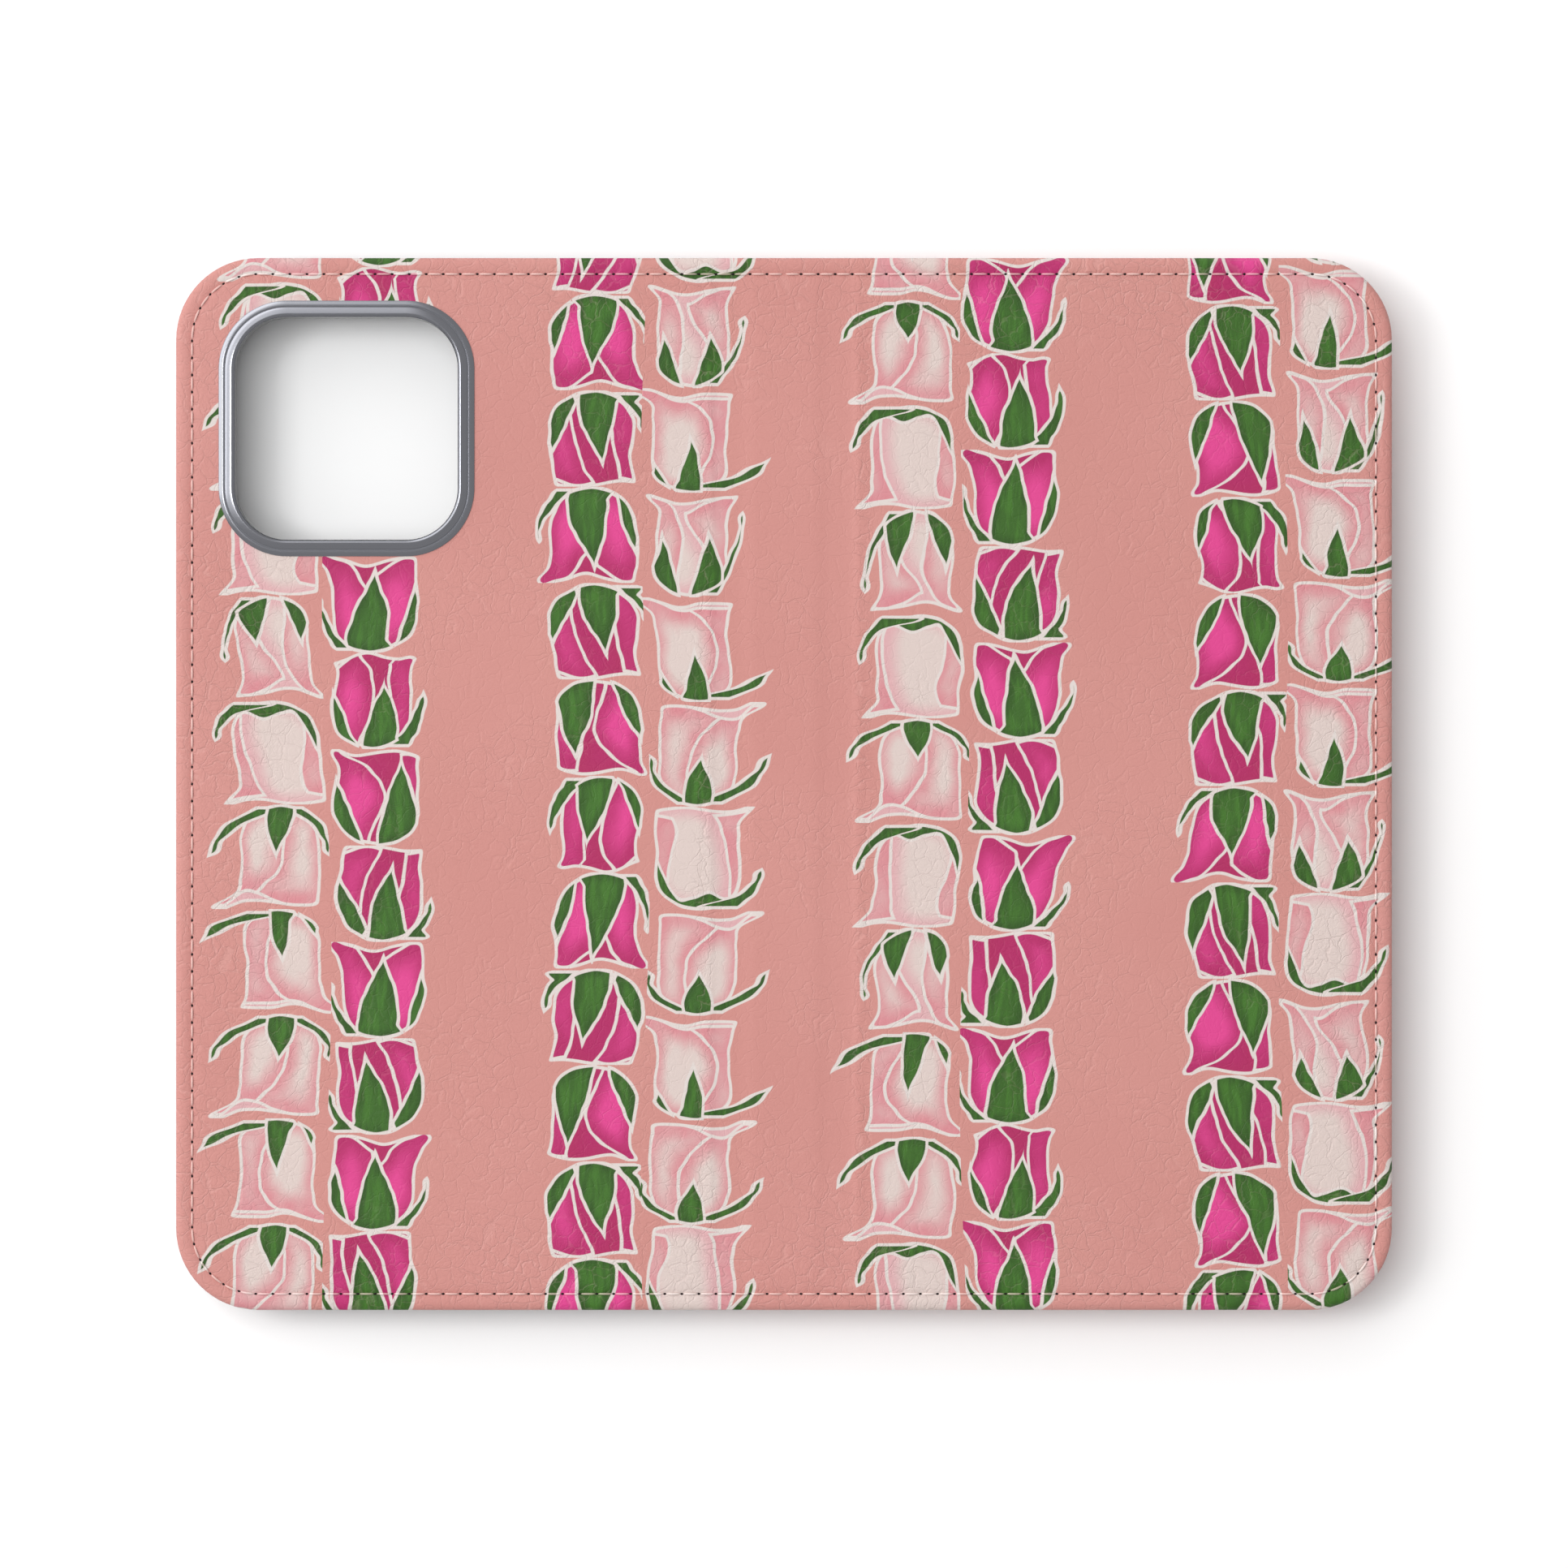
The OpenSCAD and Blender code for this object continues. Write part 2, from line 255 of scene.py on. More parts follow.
def connect(start, shader, **sockets):
    for name, value in sockets.items():
        name = name.replace("_", " ")
        if isinstance(value, Wire):
            start.tree.links.new(value.socket, shader.inputs[name])
        else:
            shader.inputs[name].default_value = value


def bump(height, strength, distance):
    inputs = dict(Strength=strength, Distance=distance, Height=height)
    return height.node("ShaderNodeBump", None, inputs)


# the print: garlands of rosebuds

# A bud stands on its base and opens upwards. Sides and folds are distances from its middle in mm, at shares
# of its height. Top, lip, bottom and calyx are heights in mm, at distances from its middle. A leaf is (base,
# tip, how high the tip is, half width, bend), and hooks are leaves that leave the bud.
garland = dict(
    strings=46.65, first=-66.9, columns=7.3, edge=23.33,
    palePitch=15.3, magentaPitch=14.1, line=0.225, soft=0.07, leafSpan=30.0,
    sway=0.7, bends=0.06, strayX=1.4, strayY=0.06, sheet=200,
)
roundBase = [(-8, 3.2), (-5, 1.2), (-3, 0.6), (0, 0.35), (3, 0.6), (5, 1.2), (8, 3.2)]
noCalyx = [(-8, -3), (8, -3)]
noHook = (0, 0, -0.5, 0.1, 0)
magentaBuds = [
    dict(
        left=[(0, -4.4), (0.2, -5.9), (0.5, -6.1), (0.8, -5.7), (1, -6.5)],
        right=[(0, 4.4), (0.2, 5.7), (0.5, 5.9), (0.8, 6.1), (1, 6.1)],
        top=[(-8, 14.2), (-5.5, 13.9), (-3, 13.1), (0, 13.6), (3, 13.8), (5.5, 13.2), (8, 12.4)],
        lip=[(-8, 14.4), (-5, 13.9), (-2.5, 12.8), (0, 12.0), (2, 12.8), (4.5, 13.4), (8, 12)],
        bottom=roundBase, calyx=noCalyx,
        foldLeft=[(0, -1.5), (0.2, -0.5), (0.4, 1.0), (0.55, 1.3), (0.7, 0.1), (0.85, -2.2), (1, -5.2)],
        foldRight=[(0, 2.5), (0.5, 3.2), (0.75, 3.2), (0.9, 3.7), (1, 3.1)],
        leaves=[(-4.2, -5.9, 0.64, 1.9, -0.3), (2.5, 3.6, 0.84, 2.5, 0.3), noHook, noHook],
    ),
    dict(
        left=[(0, -3.8), (0.15, -4.9), (0.4, -5.5), (0.7, -5.8), (1, -7.6)],
        right=[(0, 4.0), (0.2, 5.5), (0.5, 6.1), (0.8, 5.9), (1, 5.5)],
        top=[(-8, 14.3), (-5.5, 13.9), (-3, 13.2), (-1, 12.7), (1, 13.2), (4, 13.9), (8, 13.6)],
        lip=[(-8, 14.5), (-5, 13.7), (-3, 12.8), (-1, 11.2), (1, 11.9), (4, 13.9), (8, 13.8)],
        bottom=roundBase, calyx=noCalyx,
        foldLeft=[(0, -1), (0.4, -0.2), (0.6, -0.4), (0.8, -2.0), (1, -3.8)],
        foldRight=[(0, 0.3), (0.5, 0.0), (0.75, 0.3), (0.9, 1.4), (1, 3.4)],
        leaves=[(-0.6, 0.2, 0.8, 2.6, 0), (4.9, 5.8, 0.66, 1.3, 0.2), (-3.0, -7.4, 0.56, 0.6, -1.3), noHook],
    ),
    dict(
        left=[(0, -3.9), (0.2, -5.6), (0.5, -5.8), (0.8, -5.6), (1, -6.4)],
        right=[(0, 4.4), (0.2, 5.9), (0.5, 6.0), (0.8, 5.4), (1, 6.6)],
        top=[(-8, 12.9), (-5, 13.5), (-2.5, 13.1), (0, 14.0), (2.5, 13.9), (5, 12.7), (8, 12.5)],
        lip=[(-8, 13.0), (-5, 13.6), (-2.6, 13.1), (-1, 11.5), (0.6, 13.8), (3, 13.8), (5.4, 11.8), (8, 9)],
        bottom=roundBase, calyx=noCalyx,
        foldLeft=[(0, -3), (0.5, -2.9), (0.8, -2.6), (1, -2.4)],
        foldRight=[(0, 2.8), (0.3, 0.8), (0.5, 0.0), (0.65, -0.2), (0.85, 0.6), (1, 2.4)],
        leaves=[(-0.8, -1.8, 0.72, 2.5, 0), (4.8, 5.9, 0.6, 1.8, 0.4), (-3.2, -7.2, 0.66, 0.9, -1.5), noHook],
    ),
    dict(
        left=[(0, -3.8), (0.2, -5.5), (0.5, -5.9), (0.8, -5.4), (1, -4.9)],
        right=[(0, 3.9), (0.2, 5.4), (0.5, 5.9), (0.75, 5.7), (1, 6.3)],
        top=[(-8, 12.9), (-5, 13.8), (-2, 14.0), (1, 13.8), (4, 13.3), (8, 13.6)],
        lip=[(-8, 11.4), (-5, 12.9), (-2.5, 13.9), (0, 13.7), (2, 12.9), (4, 12.9), (8, 13.7)],
        bottom=roundBase, calyx=noCalyx,
        foldLeft=[(0, -3.4), (0.4, -3.0), (0.6, -2.3), (0.8, -1.0), (1, 0.6)],
        foldRight=[(0, 1.2), (0.3, 2.4), (0.6, 3.4), (0.8, 3.9), (1, 4.2)],
        leaves=[
            (0.6, 2.0, 0.78, 2.5, -0.4), (-3.9, -5.6, 0.66, 2.0, -0.5), (3.2, 6.9, 0.5, 0.6, 1.3), noHook,
        ],
    ),
]
paleBuds = [
    dict(
        left=[(0, -3.6), (0.15, -5.4), (0.4, -6.0), (0.7, -5.9), (1, -5.6)],
        right=[(0, 3.6), (0.15, 5.3), (0.4, 5.7), (0.65, 5.5), (0.85, 6.3), (1, 9.4)],
        top=[(-8, 13.9), (-5, 14.7), (-2, 14.6), (2, 14.1), (5, 14.1), (8, 15.2)],
        lip=[(-8, 14.0), (-5, 14.8), (-2, 14.7), (0, 14.2), (3, 12.9), (5.5, 12.9), (8, 14.8)],
        bottom=roundBase, calyx=noCalyx,
        foldLeft=[(0, -0.4), (0.4, -1.4), (0.6, -0.6), (0.75, 1.4), (0.85, 3.2), (1, 6.4)],
        foldRight=[(0, -0.4), (0.4, -1.4), (0.6, -0.6), (0.75, 1.4), (0.85, 3.2), (1, 6.4)],
        leaves=[(0.0, 0.3, 0.42, 2.0, 0), noHook, (1.0, 10.4, 0.46, 0.7, 2.3), (-1.2, -7.2, 0.46, 0.6, -2.2)],
    ),
    dict(
        left=[(0, -3.8), (0.15, -4.9), (0.4, -5.2), (0.7, -5.0), (0.85, -5.2), (1, -6.8)],
        right=[(0, 3.4), (0.2, 4.8), (0.5, 5.0), (0.8, 4.8), (1, 6.0)],
        top=[(-8, 15.0), (-5, 14.6), (-2.5, 13.6), (0, 13.8), (2.5, 14.4), (5, 14.6), (8, 15.1)],
        lip=[(-8, 15.0), (-5.5, 14.6), (-3, 13.4), (-1, 12.2), (1, 13.4), (4, 14.6), (8, 14.8)],
        bottom=roundBase, calyx=noCalyx,
        foldLeft=[(0, -1.8), (0.3, -2.0), (0.55, -1.6), (0.75, -2.4), (1, -4.6)],
        foldRight=[(0, 1.6), (0.4, 1.8), (0.6, 0.2), (0.75, -1.2), (0.9, -0.6), (1, 0.6)],
        leaves=[(2.1, 2.3, 0.52, 1.9, 0.4), (-3.2, -4.2, 0.5, 1.6, -0.3), (2.6, 7.0, 0.72, 0.5, 1.3), noHook],
    ),
    dict(
        left=[(0, -4.4), (0.12, -5.6), (0.4, -5.6), (0.7, -5.6), (0.9, -6.6), (1, -8.2)],
        right=[(0, 4.6), (0.12, 5.5), (0.4, 5.3), (0.8, 5.6), (1, 6.4)],
        top=[(-8, 15.2), (-5, 14.8), (-2, 13.8), (1, 14.3), (4, 14.4), (8, 14.2)],
        lip=[(-8, 15.4), (-5, 14.8), (-2, 13.4), (1, 13.7), (3, 13.7), (8, 13.7)],
        bottom=roundBase, calyx=noCalyx,
        foldLeft=[(0, -0.6), (0.25, 1.8), (0.45, 2.9), (0.6, 2.9), (0.75, 1.8), (0.9, -1.0), (1, -4.0)],
        foldRight=[(0, -0.6), (0.25, 1.8), (0.45, 2.9), (0.6, 2.9), (0.75, 1.8), (0.9, -1.0), (1, -4.0)],
        leaves=[(-0.3, 0.0, 0.55, 1.6, 0), (-4.4, -5.4, 0.3, 1.0, 0), (1.2, 11.0, 0.36, 0.75, 2.0), noHook],
    ),
    dict(
        left=[(0, -4.6), (0.15, -5.8), (0.4, -6.2), (0.7, -6.1), (1, -5.8)],
        right=[(0, 4.2), (0.15, 5.4), (0.4, 5.7), (0.7, 5.6), (0.9, 6.2), (1, 7.8)],
        top=[(-8, 14.5), (-5, 14.8), (-2, 15.2), (1, 14.8), (4, 14.5), (8, 15.4)],
        lip=[(-8, 13.7), (-5, 13.9), (-3, 13.4), (0, 13.7), (3, 14.0), (8, 14.8)],
        bottom=roundBase,
        calyx=[
            (-8, 9.0), (-6, 7.4), (-4.6, 3.4), (-3, 2.1), (-1, 1.9), (1, 2.7), (3, 1.7), (5, 2.4), (8, 1.0),
        ],
        foldLeft=[(0, -4.4), (0.3, -4.2), (0.5, -4.0), (0.8, -3.2), (1, -4.6)],
        foldRight=[(0, 4.2), (0.4, 4.4), (0.6, 4.0), (0.8, 3.2), (1, 1.8)],
        leaves=[noHook, noHook, (3.0, 8.4, 0.44, 0.7, 1.3), noHook],
    ),
]
levels = 8
kinds = len(paleBuds)
reach = 20.0  # the span in mm that a ramp's values cover
spanAcross = 8.0


def smoothCurve(points, places):
    x, y = np.array(points, float).T
    slope = np.gradient(y, x)
    k = np.clip(np.searchsorted(x, places, side="right") - 1, 0, len(x) - 2)
    width, rise = x[k + 1] - x[k], y[k + 1] - y[k]
    t = np.clip((places - x[k]) / width, 0, 1)
    sway = t * (1 - t) * ((1 - t) * (slope[k] * width - rise) + t * (rise - slope[k + 1] * width))
    return y[k] + t * rise + sway


def sideCurve(points):
    return smoothCurve(points, np.linspace(0, 1, levels))


def crossCurve(points):
    return smoothCurve(points, np.linspace(-spanAcross, spanAcross, levels))


def leafCurves(leaf, pitch, fade):
    base, tip, rise, halfWidth, bend = leaf
    t = np.linspace(0, 1, levels) / abs(rise)
    inside = np.minimum(t, 1.25)
    middle = base + (tip - base) * inside + bend * 4 * inside * np.maximum(1 - inside, 0)
    half = halfWidth * np.maximum(1 - t, 0) ** 0.9 * (1 + 1.6 * t) * (1 - 0.35 * np.minimum(t, 1) ** 2)
    half = np.where(t > 1, fade * (1 - t) * rise * pitch, half) if rise > 0 else half * 0 - 1.5
    lean = np.gradient(middle, pitch / (levels - 1))
    half = half * np.where(half > 0, np.hypot(1, lean), 1)
    return middle - half, middle + half


def rampStops(curveSets, centre, step, span):
    values, slopes = [], []
    for curves in curveSets:
        values += list(zip(*[curve / span + centre for curve in curves]))
        slopes += list(zip(*[1 / np.hypot(1, np.gradient(curve, step)) for curve in curves]))
    places = np.linspace(0, 1, len(values))
    return list(zip(places, values)), list(zip(places, slopes))


def outline(bud, _):
    return [sideCurve(bud[name]) for name in ("left", "right", "foldLeft", "foldRight")]


def caps(bud, _):
    return [crossCurve(bud[name]) for name in ("top", "bottom", "lip", "calyx")]


def leafPair(first, fade):
    def pair(bud, pitch):
        leaves = bud["leaves"][first:first + 2]
        return [curve for leaf in leaves for curve in leafCurves(leaf, pitch, fade)]
    return pair


def budCurves(bud, factor, channels, centre, span, stepAcross=None):
    # four curves of the bud that grows here, at a place along the ramp, and how upright each one is there
    sets = []
    for buds, pitch in ((paleBuds, garland["palePitch"]), (magentaBuds, garland["magentaPitch"])):
        step = stepAcross or pitch / (levels - 1)
        sets.append(rampStops([channels(one, pitch) for one in buds], centre, step, span))
    found = []
    for paleStops, deepStops in zip(*sets):
        settings = dict(interpolation="CARDINAL")
        pale = factor.node("ShaderNodeValToRGB", dict(settings, stops=paleStops), {0: factor})
        deep = factor.node("ShaderNodeValToRGB", dict(settings, stops=deepStops), {0: factor})
        fourth = bud.magenta.between(pale.beside(1), deep.beside(1))
        found.append([*bud.magenta.blend(pale, deep).parts(), fourth])
    return found


def budPlace(start, across, up):
    # which string, and the place in it; every second string is turned half round
    g = garland
    strayX, strayY, _ = start.vector(across, up).noise(0.17, 1.0).beside(1).parts()
    string = ((across - (g["first"] - g["edge"])) / g["strings"]).floor()
    turned = 1 - 2 * string.math("FLOORED_MODULO", string, 2.0)
    along = (across - g["first"] - string * g["strings"]) * turned
    wave = up * g["bends"] + string * 2.1
    along = along + wave.math("SINE", wave) * g["sway"]
    height = up * turned
    magenta = along.over(0.0)

    # the bud's own frame, with its base at 0 and opening upwards
    x = magenta.between(-1 * (along + g["columns"]), along - g["columns"])
    y = magenta.between(-1 * height, height) + string * 6.3 + 150
    pitch = magenta.between(g["palePitch"], g["magentaPitch"])
    count = (y / pitch).floor()
    share = y / pitch - count
    seed = start.vector(count, string, magenta * 7)
    first, second, third = start.node("ShaderNodeTexWhiteNoise", None, dict(Vector=seed), 1).parts()
    mirrored = 1 - 2 * (third.over(0.5) * magenta)
    x = x * mirrored * (1.05 - 0.12 * first) + (second - 0.5) * 2.2 * (share - 0.4)
    x = x + (strayX - 0.5) * g["strayX"]
    share = share + (strayY - 0.5) * g["strayY"] * (share * (1 - share) * 4)
    kind = count * 2 + first.over(0.5)
    kind = kind.math("FLOORED_MODULO", kind, float(kinds)) * levels
    return SimpleNamespace(magenta=magenta, x=x, y=y, share=share, pitch=pitch, kind=kind,
                           growth=second, chance=third)


def drawn(under, distance, colour):  # a shape with its outline over what is there
    line, soft = garland["line"] / reach, garland["soft"] / reach
    colour = distance.ease(-soft, soft).blend(under, colour)
    return distance.size().ease(line + soft, line - soft).blend(colour, ink("white"))


def petals(start, bud, body, leftPetal, rightPetal):
    # soft colour along the petals' edges, and deeper towards the opening
    dusk = bud.share.ease(0.5, 1.0)
    rim = bud.magenta.blend(ink("paleRim"), ink("magentaRim"))
    bloom = bud.magenta.blend(ink("paleBloom"), ink("magentaBloom"))
    deep = bud.magenta.blend(ink("paleDeep"), ink("magentaDeep"))
    cloud = start.vector(bud.x * 0.35, bud.y * 0.25, bud.chance * 9).noise(1.0, 2.0).ease(0.3, 0.7)
    inward = body.ease(-0.02, 0.13)
    middlePart = rightPetal.size().ease(0.0, 0.16) * inward
    back = middlePart.blend(deep, bud.magenta.blend(bloom, rim))
    right = (rightPetal.ease(-0.01, 0.19) * inward * (1 - dusk * 0.8) + 0.2 * cloud).blend(rim, bloom)
    left = (leftPetal.ease(-0.01, 0.17) * inward * (1 - dusk * 0.7) + 0.2 * cloud).blend(rim, bloom)
    return drawn(drawn(back, rightPetal, right), leftPetal, left)


def leafGreen(start, bud, leaf):
    streak = start.vector(bud.x * 1.5, bud.y * 0.2, bud.chance * 9).noise(1.0, 2.0).ease(0.4, 0.65)
    return (leaf.ease(0.0, 0.09) * 0.5 + streak * 0.5).blend(ink("darkGreen"), ink("green"))


def printColour(start):  # distances are shares of reach, and above 0 inside a shape
    g = garland
    across, up, _ = start.node("ShaderNodeUVMap", dict(uv_map="print")).parts()
    across = (across - 0.5) * g["sheet"]
    up = (up - 0.5) * g["sheet"]
    bud = budPlace(start, across, up)
    x = bud.x / reach + 0.5
    y = bud.share * bud.pitch / reach

    last = kinds * levels - 1
    upFactor = (bud.kind + bud.share * (levels - 1)) / last
    leafShare = (bud.share * (0.88 + 0.26 * bud.growth)).least(1.0)
    leafFactor = (bud.kind + leafShare * (levels - 1)) / last
    crossShare = ((bud.x + spanAcross) / (2 * spanAcross)).least(1.0).most(0.0)
    crossFactor = (bud.kind + crossShare * (levels - 1)) / last

    edges, edgeSlopes = budCurves(bud, upFactor, outline, 0.5, reach)
    ends, endSlopes = budCurves(bud, crossFactor, caps, 0.2, reach, 2 * spanAcross / (levels - 1))
    ends = [end - 0.2 for end in ends]
    shift = (bud.chance - 0.5) * 1.3 / reach * (bud.share * (1 - bud.share) * 4)
    sides = ((x - edges[0]) * edgeSlopes[0]).least((edges[1] - x) * edgeSlopes[1])
    below = (y - ends[1]) * endSlopes[1]
    above = (ends[0] - y) * endSlopes[0]
    body = sides.node("ShaderNodeMath", dict(operation="SMOOTH_MIN"), {0: sides, 1: below, 2: 5.0 / reach})
    body = sides.node("ShaderNodeMath", dict(operation="SMOOTH_MIN"), {0: body, 1: above, 2: 0.8 / reach})
    petalTop = (ends[2] - y) * endSlopes[2]
    leftPetal = ((edges[2] + shift - x) * edgeSlopes[2]).least(petalTop)
    rightPetal = ((x - edges[3] - shift) * edgeSlopes[3]).least(petalTop)

    picture = drawn(leatherColour(start, across, up), body, petals(start, bud, body, leftPetal, rightPetal))
    calyx = ((ends[3] - y) * endSlopes[3]).least(body)
    picture = drawn(picture, calyx, leafGreen(start, bud, calyx))

    # hooks leave the bud, and leaves stay on it
    hooks = budCurves(bud, leafFactor, leafPair(2, 1.5), 0.5, g["leafSpan"])
    leaves = budCurves(bud, leafFactor, leafPair(0, 0.2), 0.5, g["leafSpan"])
    wide = bud.x / g["leafSpan"] + 0.5
    spread = g["leafSpan"] / reach
    beyond = y - 0.5 / reach
    within = body + 0.25 / reach
    for (found, slopes), k, limit in ((hooks, 0, beyond), (hooks, 2, beyond),
                                      (leaves, 2, within), (leaves, 0, within)):
        leaf = ((wide - found[k]) * slopes[k]).least((found[k + 1] - wide) * slopes[k + 1]) * spread
        leaf = leaf.least(limit)
        picture = drawn(picture, leaf, leafGreen(start, bud, leaf))
    return picture, across, up


def leatherColour(start, across, up):
    patches = start.vector(across, up).noise(0.03, 2.0)
    return patches.ease(0.3, 0.7).blend(ink("dullLeather"), ink("leather"))


# places in mm, and pebbles per mm
pebbles = dict(large=0.42, small=1.3, stray=(3.4, 3.4, 0.0), edgeX=76, edgeY=66, foldAt=11.6)


def leatherGrain(start, across, up):  # fine creases round small pebbles
    where = start.vector(across, up)
    sway = where.noise(0.35, 3.0).beside(1)
    swayed = start.node("ShaderNodeVectorMath", dict(operation="MULTIPLY_ADD"),
                        {0: sway, 1: pebbles["stray"], 2: where})
    cracks = start.node("ShaderNodeTexVoronoi", dict(feature="DISTANCE_TO_EDGE"),
                        dict(Vector=swayed, Scale=pebbles["large"], Randomness=1.0))
    small = start.node("ShaderNodeTexVoronoi", dict(feature="DISTANCE_TO_EDGE"),
                       dict(Vector=swayed, Scale=pebbles["small"], Randomness=1.0))
    edge = (across.size() - pebbles["edgeX"]).most(up.size() - pebbles["edgeY"]).ease(-12.0, 8.0)
    fold = (across.size() - pebbles["foldAt"]).size()
    patch = where.noise(0.06, 2.0).ease(0.42, 0.62)
    depth = (0.3 + 0.5 * patch + 0.6 * edge + fold.ease(1.8, 0.4)).least(1.3)
    fine = where.noise(2.6, 4.0, 0.6)
    return cracks.ease(0.0, 0.06) * depth + small.ease(0.0, 0.14) * depth * 0.4 + fine * 0.3, cracks, depth


def makePrintedLeather():
    finish, start, shader = newFinish("printedLeather")
    picture, across, up = printColour(start)
    grain, cracks, depth = leatherGrain(start, across, up)
    # painted highlight: the crackle lines are lightened, more where the grain is deeper, near the edges and
    # folds
    lit = (cracks.ease(0.05, 0.02) * (depth - 0.35).most(0.0) * 0.07).blend(picture, ink("crackleHighlight"))
    connect(start, shader, Base_Color=lit, Roughness=0.44 + 0.1 * grain, Normal=bump(grain, 0.5, 0.00012))
    shader.inputs["Specular IOR Level"].default_value = 0.35
    return finish


def makePrintedThread():
    finish, start, shader = newFinish("printedThread")
    picture, across, up = printColour(start)
    lay = start.vector(across, up).noise(6.0, 2.0)
    # the print screened halfway towards a pale thread colour: partly the thread's own tone, partly a painted
    # highlight
    threadWithHighlight = start.node("ShaderNodeMix", dict(data_type="RGBA", blend_type="SCREEN"),
                         {0: 0.5, 6: picture, 7: ink("thread")}, 2)
    connect(start, shader, Base_Color=threadWithHighlight, Roughness=0.5, Normal=bump(lay, 0.4, 0.0001))
    return finish


def makePlainLeather(name, colour, darker):
    finish, start, shader = newFinish(name)
    spot = start.place()
    across, up, _ = spot.parts()
    grain, _, _ = leatherGrain(start, across * 1000, up * 1000)
    tone = start.vector(across * 60, up * 60).noise(1.0, 3.0).ease(0.2, 0.8) * 0.35 + 0.2 + grain * 0.25
    connect(start, shader, Base_Color=tone.blend(darker, colour),
            Roughness=0.5 + 0.12 * grain, Normal=bump(grain, 0.5, 0.00015))
    return finish


def makeGunmetal():
    finish, start, shader = newFinish("smokedMetalShadedNeck")
    spot = start.place()
    _, _, z = spot.parts()
    polish = start.node("ShaderNodeTexNoise", None, dict(Vector=spot, Scale=900.0, Detail=2.0))
    # painted shade: below the top the neck is near-black and not metal, standing for the shade inside the
    # window
    wall = z.ease(topZ - 0.1 * mm, topZ + 0.25 * mm)
    connect(start, shader, Base_Color=wall.blend(ink("neckShadeMetal"), ink("metal")),
            Metallic=wall * 0.9, Roughness=0.16 + 0.08 * polish)
    return finish


def makeSmokedTray():
    finish, start, shader = newFinish("smokedTray")
    spot = start.place()
    flow = spot.noise(60.0, 3.0)
    connect(start, shader, Base_Color=flow.ease(0.3, 0.7).blend(ink("darkTray"), ink("tray")),
            Roughness=0.14 + 0.1 * flow, Normal=bump(spot.noise(900.0), 0.05, 0.00005))
    return finish


def makeBoard():
    finish, start, shader = newFinish("fibreBoard")
    spot = start.place()
    fibres = spot.noise(1400.0, 4.0, 0.65)
    connect(start, shader, Base_Color=fibres.ease(0.3, 0.7).blend(ink("darkBoard"), ink("board")),
            Roughness=0.85, Normal=bump(fibres, 0.3, 0.0001))
    return finish


def makeTape():
    finish, start, shader = newFinish("whiteTape")
    spot = start.place()
    weave = spot.noise(500.0, 2.0)
    connect(start, shader, Base_Color=weave.ease(0.3, 0.7).blend(ink("dullTape"), ink("tape")),
            Roughness=0.6, Normal=bump(weave, 0.1, 0.0001))
    return finish


def makeNickel():
    finish, start, shader = newFinish("nickel")
    spot = start.place()
    polish = spot.noise(700.0, 3.0)
    connect(start, shader, Base_Color=ink("nickel"), Metallic=1.0, Roughness=0.2 + 0.15 * polish)
    return finish


# painted shade: near-black dots that stand for the shade inside the needle holes
def makePaintedHoleShade():
    finish, start, shader = newFinish("paintedHoleShade")
    spot = start.place()
    dark = spot.noise(2000.0)
    connect(start, shader, Base_Color=dark.blend(ink("deepHoleShade"), ink("hole")), Roughness=0.9)
    return finish


# mesh work


def activate(piece):
    bpy.ops.object.select_all(action="DESELECT")
    piece.select_set(True)
    bpy.context.view_layer.objects.active = piece


def openMesh(piece):
    if bpy.context.mode != "OBJECT":
        closeMesh()
    activate(piece)
    bpy.ops.object.mode_set(mode="EDIT")
    bpy.ops.mesh.select_mode(type="FACE")


def closeMesh():
    bpy.ops.object.mode_set(mode="OBJECT")


def pick(test, kind="FACE"):  # test gets the middle and the element
    bpy.ops.mesh.select_mode(type=kind)
    bpy.ops.mesh.select_all(action="DESELECT")
    mesh = bmesh.from_edit_mesh(bpy.context.object.data)
    for element in {"FACE": mesh.faces, "EDGE": mesh.edges, "VERT": mesh.verts}[kind]:
        if kind == "FACE":
            middle = element.calc_center_median()
        elif kind == "EDGE":
            middle = (element.verts[0].co + element.verts[1].co) / 2
        else:
            middle = element.co
        if test(middle, element):
            element.select_set(True)
    mesh.select_flush_mode()
    bmesh.update_edit_mesh(bpy.context.object.data)


def roundedSlab(name, width, height, radius, low, high, centre=(0, 0), segments=12):
    bpy.ops.object.select_all(action="DESELECT")
    bpy.ops.mesh.primitive_plane_add(size=1, location=(*centre, low))
    piece = bpy.context.object
    piece.name = name
    openMesh(piece)
    bpy.ops.mesh.select_all(action="SELECT")
    bpy.ops.transform.resize(value=(width, height, 1))
    if radius:
        bpy.ops.mesh.bevel(offset=radius, segments=segments, affect="VERTICES")
    bpy.ops.mesh.select_all(action="SELECT")
    bpy.ops.mesh.extrude_region_move(TRANSFORM_OT_translate=dict(value=(0, 0, high - low)))
    closeMesh()
    bpy.ops.object.transform_apply(location=True, rotation=True, scale=True)
    return piece


def steps(piece, points, upper=True):
    # from the piece's top or bottom face inwards: each point is a distance in from the edge and a height
    openMesh(piece)
    facing = 1 if upper else -1
    pick(lambda middle, face: face.normal.z * facing > 0.9 and len(face.verts) > 4)
    lastIn, lastZ = points[0]
    for inward, z in points[1:]:
        if inward > lastIn:
            bpy.ops.mesh.inset(thickness=inward - lastIn, depth=(z - lastZ) * facing)
        else:
            bpy.ops.mesh.extrude_region_move(TRANSFORM_OT_translate=dict(value=(0, 0, z - lastZ)))
        lastIn, lastZ = inward, z


def cut(axis, places):
    for place in places:
        spot, normal = [0, 0, 0], [0, 0, 0]
        spot[axis], normal[axis] = place, 1
        bpy.ops.mesh.select_all(action="SELECT")
        bpy.ops.mesh.bisect(plane_co=spot, plane_no=normal)


